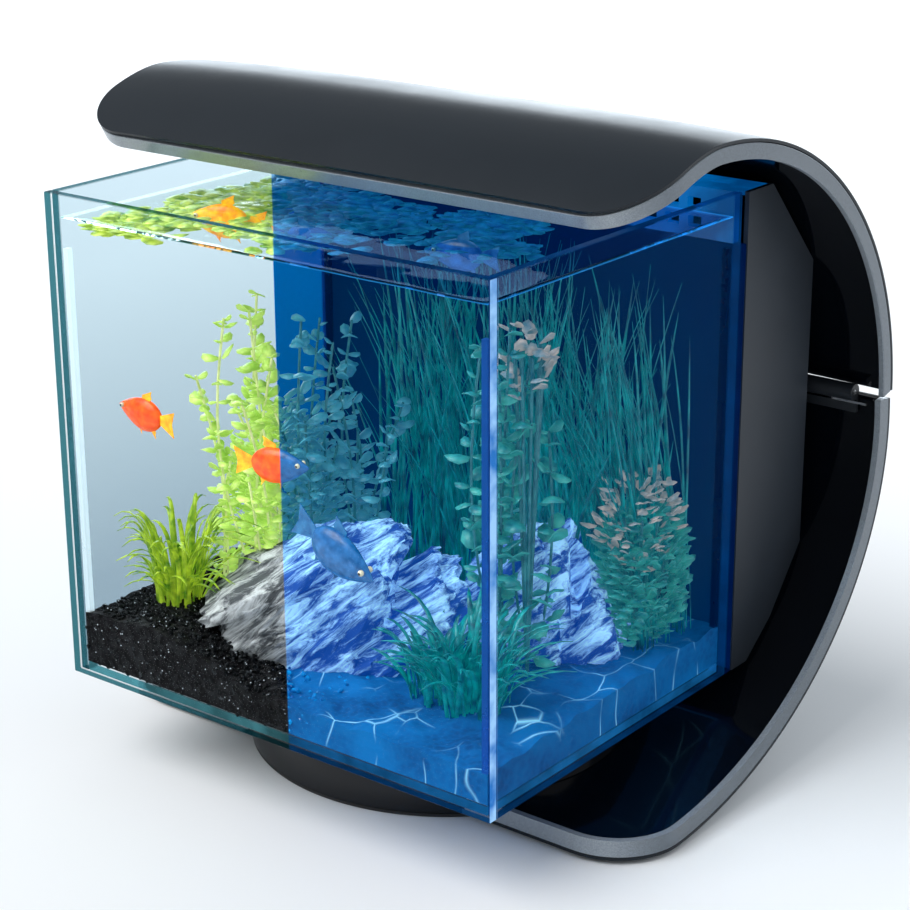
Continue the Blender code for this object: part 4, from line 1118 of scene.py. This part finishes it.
def addBlade(bm, root, heading, height, reach, width, curl, steps=9):
    # a leaf blade that rises and leans over, widest in its lower half
    made = bmesh.ops.create_grid(bm, x_segments=1, y_segments=steps, size=1)
    side = Vector((-math.sin(heading), math.cos(heading), 0))
    out = Vector((math.cos(heading), math.sin(heading), 0))
    for vert in made["verts"]:
        part = (vert.co.y + 1) / 2
        taper = math.sin(math.pi * min(0.12 + part * 0.88, 1.0)) ** 0.6 if part < 1 else 0.03
        rise = height * (part - curl * part**3)
        sway = math.sin(part * 5 + heading * 7) * reach * 0.06
        shift = vert.co.x * width / 2 * taper + sway
        vert.co = root + out * (reach * part**1.8) + side * shift + Vector((0, 0, rise))


def addLeaf(bm, place, heading, lift, length, width, cup=0.25, segments=8):
    # an oval leaf that starts at its stalk
    made = bmesh.ops.create_circle(bm, cap_ends=True, cap_tris=True, segments=segments, radius=1)
    out = Vector((math.cos(heading) * math.cos(lift), math.sin(heading) * math.cos(lift), math.sin(lift)))
    side = Vector((-math.sin(heading), math.cos(heading), 0))
    upward = out.cross(side) * -1
    for vert in made["verts"]:
        along, across = (vert.co.x + 1) / 2, vert.co.y
        bend = (across**2 + (along - 0.5) ** 2 * 1.5) * cup
        vert.co = place + out * (along * length) + side * (across * width / 2) + upward * (bend * width)


def addStalk(bm, points, radius, sides=5):
    # a thin stem through the points
    rings = []
    last = len(points) - 1
    for index, point in enumerate(points):
        made = bmesh.ops.create_circle(bm, cap_ends=index in (0, last), segments=sides, radius=radius)
        ring = made["verts"]
        along = (points[min(index + 1, last)] - points[max(index - 1, 0)]).normalized()
        turn = along.to_track_quat("Z", "Y").to_matrix().to_4x4()
        bmesh.ops.transform(bm, matrix=Matrix.Translation(point) @ turn, verts=ring)
        edges = {edge for vert in ring for edge in vert.link_edges}
        rings.append([edge for edge in edges if all(end in ring for end in edge.verts)])
    for first, second in zip(rings, rings[1:]):
        bmesh.ops.bridge_loops(bm, edges=first + second)


def groundAt(x, y):
    return tank["floor"] + bedHeight(x, y) - growth["sink"]


tufts = {
    "leftTuft": {
        "centre": (-0.098, -0.104), "radius": 0.012, "blades": 95, "height": (0.030, 0.098),
        "reach": (0.006, 0.052), "width": 0.0026, "curl": 0.45, "finish": "grassLeaf", "seed": 1,
    },
    "frontTuft": {
        "centre": (0.083, -0.092), "radius": 0.016, "blades": 95, "height": (0.026, 0.076),
        "reach": (0.006, 0.040), "width": 0.0030, "curl": 0.34, "finish": "grassLeaf", "seed": 2,
    },
    "middleTuft": {
        "centre": (0.060, -0.090), "radius": 0.014, "blades": 60, "height": (0.030, 0.060),
        "reach": (0.006, 0.026), "width": 0.0040, "curl": 0.30, "finish": "grassLeaf", "seed": 6,
    },
    "lowTuft": {
        "centre": (-0.060, -0.030), "radius": 0.016, "blades": 30, "height": (0.030, 0.070),
        "reach": (0.010, 0.030), "width": 0.0036, "curl": 0.30, "finish": "grassLeaf", "seed": 7,
    },
}
tallGrass = {
    "blades": 460, "height": (0.110, 0.212), "reach": (0.004, 0.050), "width": 0.0021, "seed": 4,
    "across": (-0.050, 0.118), "deep": (0.000, 0.042), "lowFrom": 0.06, "low": 0.92, "turnFrom": 0.08,
}


def makeTufts():
    for name, spec in tufts.items():
        dice = random.Random(spec["seed"])
        bm = bmesh.new()
        for _ in range(spec["blades"]):
            heading = dice.uniform(0, math.tau)
            away = spec["radius"] * dice.random() ** 0.5
            x = spec["centre"][0] + math.cos(heading) * away
            y = spec["centre"][1] + math.sin(heading) * away
            height = dice.uniform(*spec["height"])
            reach = dice.uniform(*spec["reach"])
            if math.cos(heading) * x > 0:
                reach = min(reach, growth["side"] - abs(x))
            way = heading + dice.uniform(-0.6, 0.6)
            if math.sin(way) < 0:
                reach = min(reach, (y - tank["front"] - growth["front"]) / -math.sin(way))
            width = spec["width"] * dice.uniform(0.7, 1.1)
            addBlade(bm, Vector((x, y, groundAt(x, y))), way, height, max(reach, 0.003), width, spec["curl"])
        finishLeaves(name, bm, spec["finish"], 0.00025)
    dice = random.Random(tallGrass["seed"])
    bm = bmesh.new()
    for _ in range(tallGrass["blades"]):
        x, y = dice.uniform(*tallGrass["across"]), dice.uniform(*tallGrass["deep"])
        height = dice.uniform(*tallGrass["height"]) * (1.0 if x < tallGrass["lowFrom"] else tallGrass["low"])
        heading = dice.gauss(math.pi * 0.5, 1.6)
        reach = dice.uniform(*tallGrass["reach"])
        if x > tallGrass["turnFrom"]:
            heading = dice.uniform(2.2, 4.6) if dice.random() < 0.6 else heading
        if y + math.sin(heading) * reach > growth["grassRear"]:
            heading = -heading
        if abs(x + math.cos(heading) * reach) > growth["grassSide"]:
            heading = math.pi - heading
        width = tallGrass["width"] * dice.uniform(0.5, 1.1)
        addBlade(bm, Vector((x, y, groundAt(x, y))), heading, height, reach, width, 0.04, steps=12)
    finishLeaves("tallGrass", bm, "tallLeaf", 0.0002)


stemPlants = {
    "stemPlantLeft": {
        "spots": [
            (-0.072, -0.066), (-0.066, -0.080), (-0.058, -0.062), (-0.060, -0.084), (-0.078, -0.058),
            (-0.066, -0.070), (-0.054, -0.050), (-0.080, -0.084), (-0.088, -0.064),
        ],
        "top": (0.150, 0.236), "lean": (0.014, -0.016), "leaf": 0.0100, "finish": "roundLeaf", "seed": 21,
    },
    "stemPlantMiddle": {
        "spots": [(-0.046, -0.052), (-0.034, -0.046), (-0.040, -0.030), (-0.052, -0.036), (-0.026, -0.038)],
        "top": (0.165, 0.226), "lean": (0.022, -0.012), "leaf": 0.0105, "finish": "roundLeaf", "seed": 22,
    },
    "stemPlantRight": {
        "spots": [(0.066, -0.046), (0.078, -0.036), (0.072, -0.058)], "top": (0.180, 0.250),
        "lean": (0.012, -0.014), "leaf": 0.0125, "finish": "bushLeaf", "seed": 23,
    },
}


def makeStemPlants():
    for name, spec in stemPlants.items():
        dice = random.Random(spec["seed"])
        leaves, stalks = bmesh.new(), bmesh.new()
        for x, y in spec["spots"]:
            for _ in range(2):
                top = dice.uniform(*spec["top"])
                lean = spec["lean"][0] * dice.uniform(-0.4, 1.3), spec["lean"][1] * dice.uniform(-0.6, 1.4)
                tip = Vector((x + lean[0], y + lean[1], top))
                root = Vector((x, y, groundAt(x, y))) + shake(dice, 0.004, 0.004)
                bow = shake(dice, 0.014, 0.010)
                points = [root.lerp(tip, part / 9) + bow * math.sin(math.pi * part / 9) for part in range(10)]
                addStalk(stalks, points, growth["stem"])
                count = int((top - root.z) / 0.0072)
                for step in range(1, count + 1):
                    part = min((step + dice.uniform(-0.6, 0.6)) / count, 1.0)
                    place = root.lerp(tip, part) + bow * math.sin(math.pi * part)
                    heading = dice.uniform(0, math.tau)
                    for turn in (0, math.pi + dice.uniform(-0.7, 0.7))[: dice.choice((1, 2, 2))]:
                        size = spec["leaf"] * dice.uniform(0.5, 1.1) * (1.0 if part < 0.9 else 0.8)
                        lift = dice.uniform(-0.4, 1.0)
                        addLeaf(leaves, place, heading + turn, lift, size, size * dice.uniform(0.8, 1.0))
        finishLeaves(name + "Leaves", leaves, spec["finish"], 0.0003)
        finishPiece(name + "Stalks", stalks, "stemGreen", smooth=60)


bushes = {
    "rightBush": {
        "centre": (0.108, 0.012, 0.108), "radii": (0.017, 0.027, 0.038), "leaves": 620, "leaf": 0.0088,
        "finish": "bushLeaf", "seed": 31,
    },
    "rightBushTips": {
        "centre": (0.107, 0.008, 0.136), "radii": (0.016, 0.024, 0.026), "leaves": 150, "leaf": 0.0078,
        "finish": "paleLeaf", "seed": 36,
    },
    "stemTips": {
        "centre": (0.082, -0.050, 0.228), "radii": (0.010, 0.010, 0.020), "leaves": 26, "leaf": 0.0105,
        "finish": "paleLeaf", "seed": 37,
    },
    "backBush": {
        "centre": (0.052, 0.018, 0.100), "radii": (0.022, 0.020, 0.030), "leaves": 300, "leaf": 0.0055,
        "finish": "roundLeaf", "seed": 32,
    },
    "leftMoss": {
        "centre": (-0.062, -0.062, 0.140), "radii": (0.026, 0.024, 0.042), "leaves": 620, "leaf": 0.0082,
        "finish": "roundLeaf", "seed": 33,
    },
}


def makeBushes():
    for name, spec in bushes.items():
        dice = random.Random(spec["seed"])
        leaves, stalks = bmesh.new(), bmesh.new()
        centre = Vector(spec["centre"])
        base = Vector((centre.x, centre.y, groundAt(centre.x, centre.y)))
        for _ in range(spec["leaves"]):
            way = Vector((dice.gauss(0, 1), dice.gauss(0, 1), dice.gauss(0, 1))).normalized()
            away = 0.45 + 0.55 * dice.random() ** 0.5
            lump = 1 + 0.25 * noise.noise(way * 2.5 + Vector((spec["seed"], 0, 0)))
            place = centre + Vector([way[axis] * spec["radii"][axis] for axis in range(3)]) * away * lump
            if place.x > growth["bushSide"] or place.y > growth["bushRear"]:
                continue
            size = spec["leaf"] * dice.uniform(0.6, 1.15)
            heading = math.atan2(way.y, way.x) + dice.uniform(-0.7, 0.7)
            length = min(size, growth["leafSide"] - place.x)
            addLeaf(leaves, place, heading, dice.uniform(-0.1, 1.1), length, size * 0.7, segments=7)
        for index in range(9):
            heading = index * math.tau / 9
            spot = math.cos(heading), math.sin(heading), dice.uniform(0, 0.6)
            tip = centre + Vector([spot[axis] * spec["radii"][axis] for axis in range(3)]) * 0.7
            addStalk(stalks, [base, base.lerp(tip, 0.5) + Vector((0, 0, 0.006)), tip], growth["twig"])
        finishLeaves(name + "Leaves", leaves, spec["finish"], 0.00025)
        finishPiece(name + "Stalks", stalks, "stemGreen", smooth=60)


# leaves in the water's surface: each clump has its middle and its width
floating = {
    "leaves": 1700, "size": (0.006, 0.0135), "seed": 41, "level": (0.2755, 0.2798),
    "side": 0.124, "front": -0.1375, "rear": 0.035,
    "clumps": [
        (-0.112, -0.120, 0.018), (-0.114, -0.060, 0.022), (-0.105, -0.105, 0.030), (-0.075, -0.060, 0.034),
        (-0.030, -0.085, 0.030), (-0.095, -0.020, 0.030), (-0.010, -0.040, 0.028), (0.050, -0.050, 0.024),
        (0.030, -0.010, 0.022), (-0.050, -0.020, 0.026),
    ],
}


def makeFloating():
    dice = random.Random(floating["seed"])
    bm = bmesh.new()
    for _ in range(floating["leaves"]):
        x, y, wide = dice.choice(floating["clumps"])
        away = dice.gauss(0, wide * 0.5), dice.gauss(0, wide * 0.42)
        place = Vector((x + away[0], y + away[1], dice.uniform(*floating["level"])))
        size, heading = dice.uniform(*floating["size"]), dice.uniform(0, math.tau)
        tip = place + Vector((math.cos(heading), math.sin(heading), 0)) * size
        outside = max(abs(place.x), abs(tip.x)) > floating["side"]
        if outside or min(place.y, tip.y) < floating["front"] or max(place.y, tip.y) > floating["rear"]:
            continue
        addLeaf(bm, place, heading, dice.uniform(-0.15, 0.15), size, size * 0.8, cup=0.12)
    finishLeaves("floatingLeaves", bm, "floatLeaf", 0.0003)


makeTufts()
makeStemPlants()
makeBushes()
makeFloating()
print("plants made")

# fish: place of the middle, way the head points, nose up or down, length
shoal = {
    "fishLeft": {
        "place": (-0.1080, -0.112, 0.179), "heading": 176, "nose": 4, "length": 0.042, "finish": "fishSkin",
    },
    "fishMiddle": {
        "place": (-0.022, -0.112, 0.171), "heading": 8, "nose": 4, "length": 0.044, "finish": "fishSkin",
    },
    "fishDark": {
        "place": (0.025, -0.122, 0.141), "heading": -2, "nose": -22, "length": 0.054, "finish": "fishSkin",
    },
    "fishTopLeft": {
        "place": (-0.076, -0.083, 0.2765), "heading": 200, "nose": 2, "length": 0.042, "finish": "goldSkin",
    },
    "fishTopMiddle": {
        "place": (-0.022, -0.085, 0.2765), "heading": 30, "nose": 0, "length": 0.032, "finish": "goldSkin",
    },
    "fishTopRight": {
        "place": (0.057, -0.068, 0.2770), "heading": 190, "nose": 0, "length": 0.038, "finish": "fishSkin",
    },
}
# shares of a fish's length; each fin has its root, tip, spread and notch
fishShape = {
    "depth": 0.37, "thick": 0.19, "body": 0.74, "rear": 0.28, "finThick": 0.010,
    "fins": [
        ((-0.24, 0.0, 0.04), (-0.52, 0.0), 0.16, 0.14),
        ((0.04, 0.15, 0.08), (-0.12, 0.26), 0.05, 0.1),
        ((-0.08, -0.10, 0.04), (-0.20, -0.22), 0.04, 0.1),
        ((0.14, -0.13, 0.02), (0.05, -0.24), 0.03, 0.1),
    ],
    "eyes": ((0.030, 0.056, 1), (0.017, 0.074, 2)),
}


def addFin(bm, root, tip, spreadBy, notch, steps=6):
    # a fan between a root line and a tip line
    made = bmesh.ops.create_grid(bm, x_segments=steps, y_segments=3, size=1)
    for vert in made["verts"]:
        part, fan = (vert.co.y + 1) / 2, vert.co.x
        reach = 1 - notch * (1 - abs(fan)) * part
        wide = root[2] + (spreadBy - root[2]) * part
        vert.co = Vector(
            (
                root[0] + (tip[0] - root[0]) * part * reach, 0.0,
                root[1] + (tip[1] - root[1]) * part + fan * wide,
            )
        )


def makeShoal():
    for name, spec in shoal.items():
        bm = bmesh.new()
        bmesh.ops.create_uvsphere(bm, u_segments=20, v_segments=22, radius=1)
        bmesh.ops.rotate(bm, verts=bm.verts, matrix=Matrix.Rotation(math.pi / 2, 3, "Y"))
        for vert in bm.verts:
            part = (vert.co.x + 1) / 2    # 0 at the tail root, 1 at the mouth
            ring = max(math.sqrt(max(1 - vert.co.x**2, 0)), 1e-4)
            girth = (math.sin(math.pi * part**0.82) ** 0.8) * (1 - part * 0.12) + 0.24 * (1 - part) ** 2
            belly = 1.12 if vert.co.z < 0 else 1.0
            scale = girth / ring / 2 if ring > 0.01 else 0.0
            height = vert.co.z * scale * fishShape["depth"] * belly
            vert.co = Vector(
                (part * fishShape["body"] - fishShape["rear"], vert.co.y * scale * fishShape["thick"], height)
            )
        bmesh.ops.remove_doubles(bm, verts=bm.verts, dist=1e-5)
        fins = bmesh.new()
        for fin in fishShape["fins"]:
            addFin(fins, *fin)
        bmesh.ops.solidify(fins, geom=fins.faces[:], thickness=fishShape["finThick"])
        bmesh.ops.recalc_face_normals(fins, faces=fins.faces)
        for face in fins.faces:
            face.material_index = 3
        kept = bpy.data.meshes.new("fins")
        fins.to_mesh(kept)
        fins.free()
        bm.from_mesh(kept)
        bpy.data.meshes.remove(kept)
        for side in (-1, 1):
            for radius, out, slot in fishShape["eyes"]:
                eye = bmesh.ops.create_icosphere(bm, subdivisions=2, radius=radius)["verts"]
                bmesh.ops.translate(bm, verts=eye, vec=(0.345, side * out, 0.030))
                for face in {face for vert in eye for face in vert.link_faces}:
                    face.material_index = slot
        heading, nose = math.radians(spec["heading"]), math.radians(spec["nose"])
        turn = Matrix.Rotation(heading, 4, "Z") @ Matrix.Rotation(-nose, 4, "Y")
        placed = Matrix.Translation(spec["place"]) @ turn @ Matrix.Scale(spec["length"], 4)
        bmesh.ops.transform(bm, matrix=placed, verts=bm.verts)
        finishPiece(name, bm, spec["finish"], smooth=50, extra=("eyeWhite", "eyeBlack", "goldSkin"))


makeShoal()
print("fish made:", len(shoal))

# water surface with a small rim that climbs the glass
waterLook = {"thick": 0.0005, "rim": 0.0006}


def fillWater():
    bm = bmesh.new()
    bmesh.ops.create_grid(bm, x_segments=60, y_segments=46, size=1)
    for vert in bm.verts:
        edge = 1 - max(abs(vert.co.x), abs(vert.co.y))
        climb = waterLook["rim"] * math.exp(-edge * 40)
        x, y = overTank(vert)
        wave = noise.noise(Vector((x, y, 0)) * 30) * 0.0003
        vert.co = Vector((x, y, tank["water"] + climb + wave))
    addWall(finishPiece("waterSurface", bm, "water", smooth=60), waterLook["thick"])


fillWater()
print("water made")

# floor
bm = bmesh.new()
bmesh.ops.create_grid(bm, x_segments=1, y_segments=1, size=studio["floorHalf"])
floorMesh = bpy.data.meshes.new("floor")
bm.to_mesh(floorMesh)
bm.free()
floor = bpy.data.objects.new("floor", floorMesh)
bpy.context.scene.collection.objects.link(floor)
floorMesh.materials.append(newFinish("floorPaper", tone=studio["floorTone"], rough=0.7)[0])
floor.location.z = -0.0002

print("stage set")
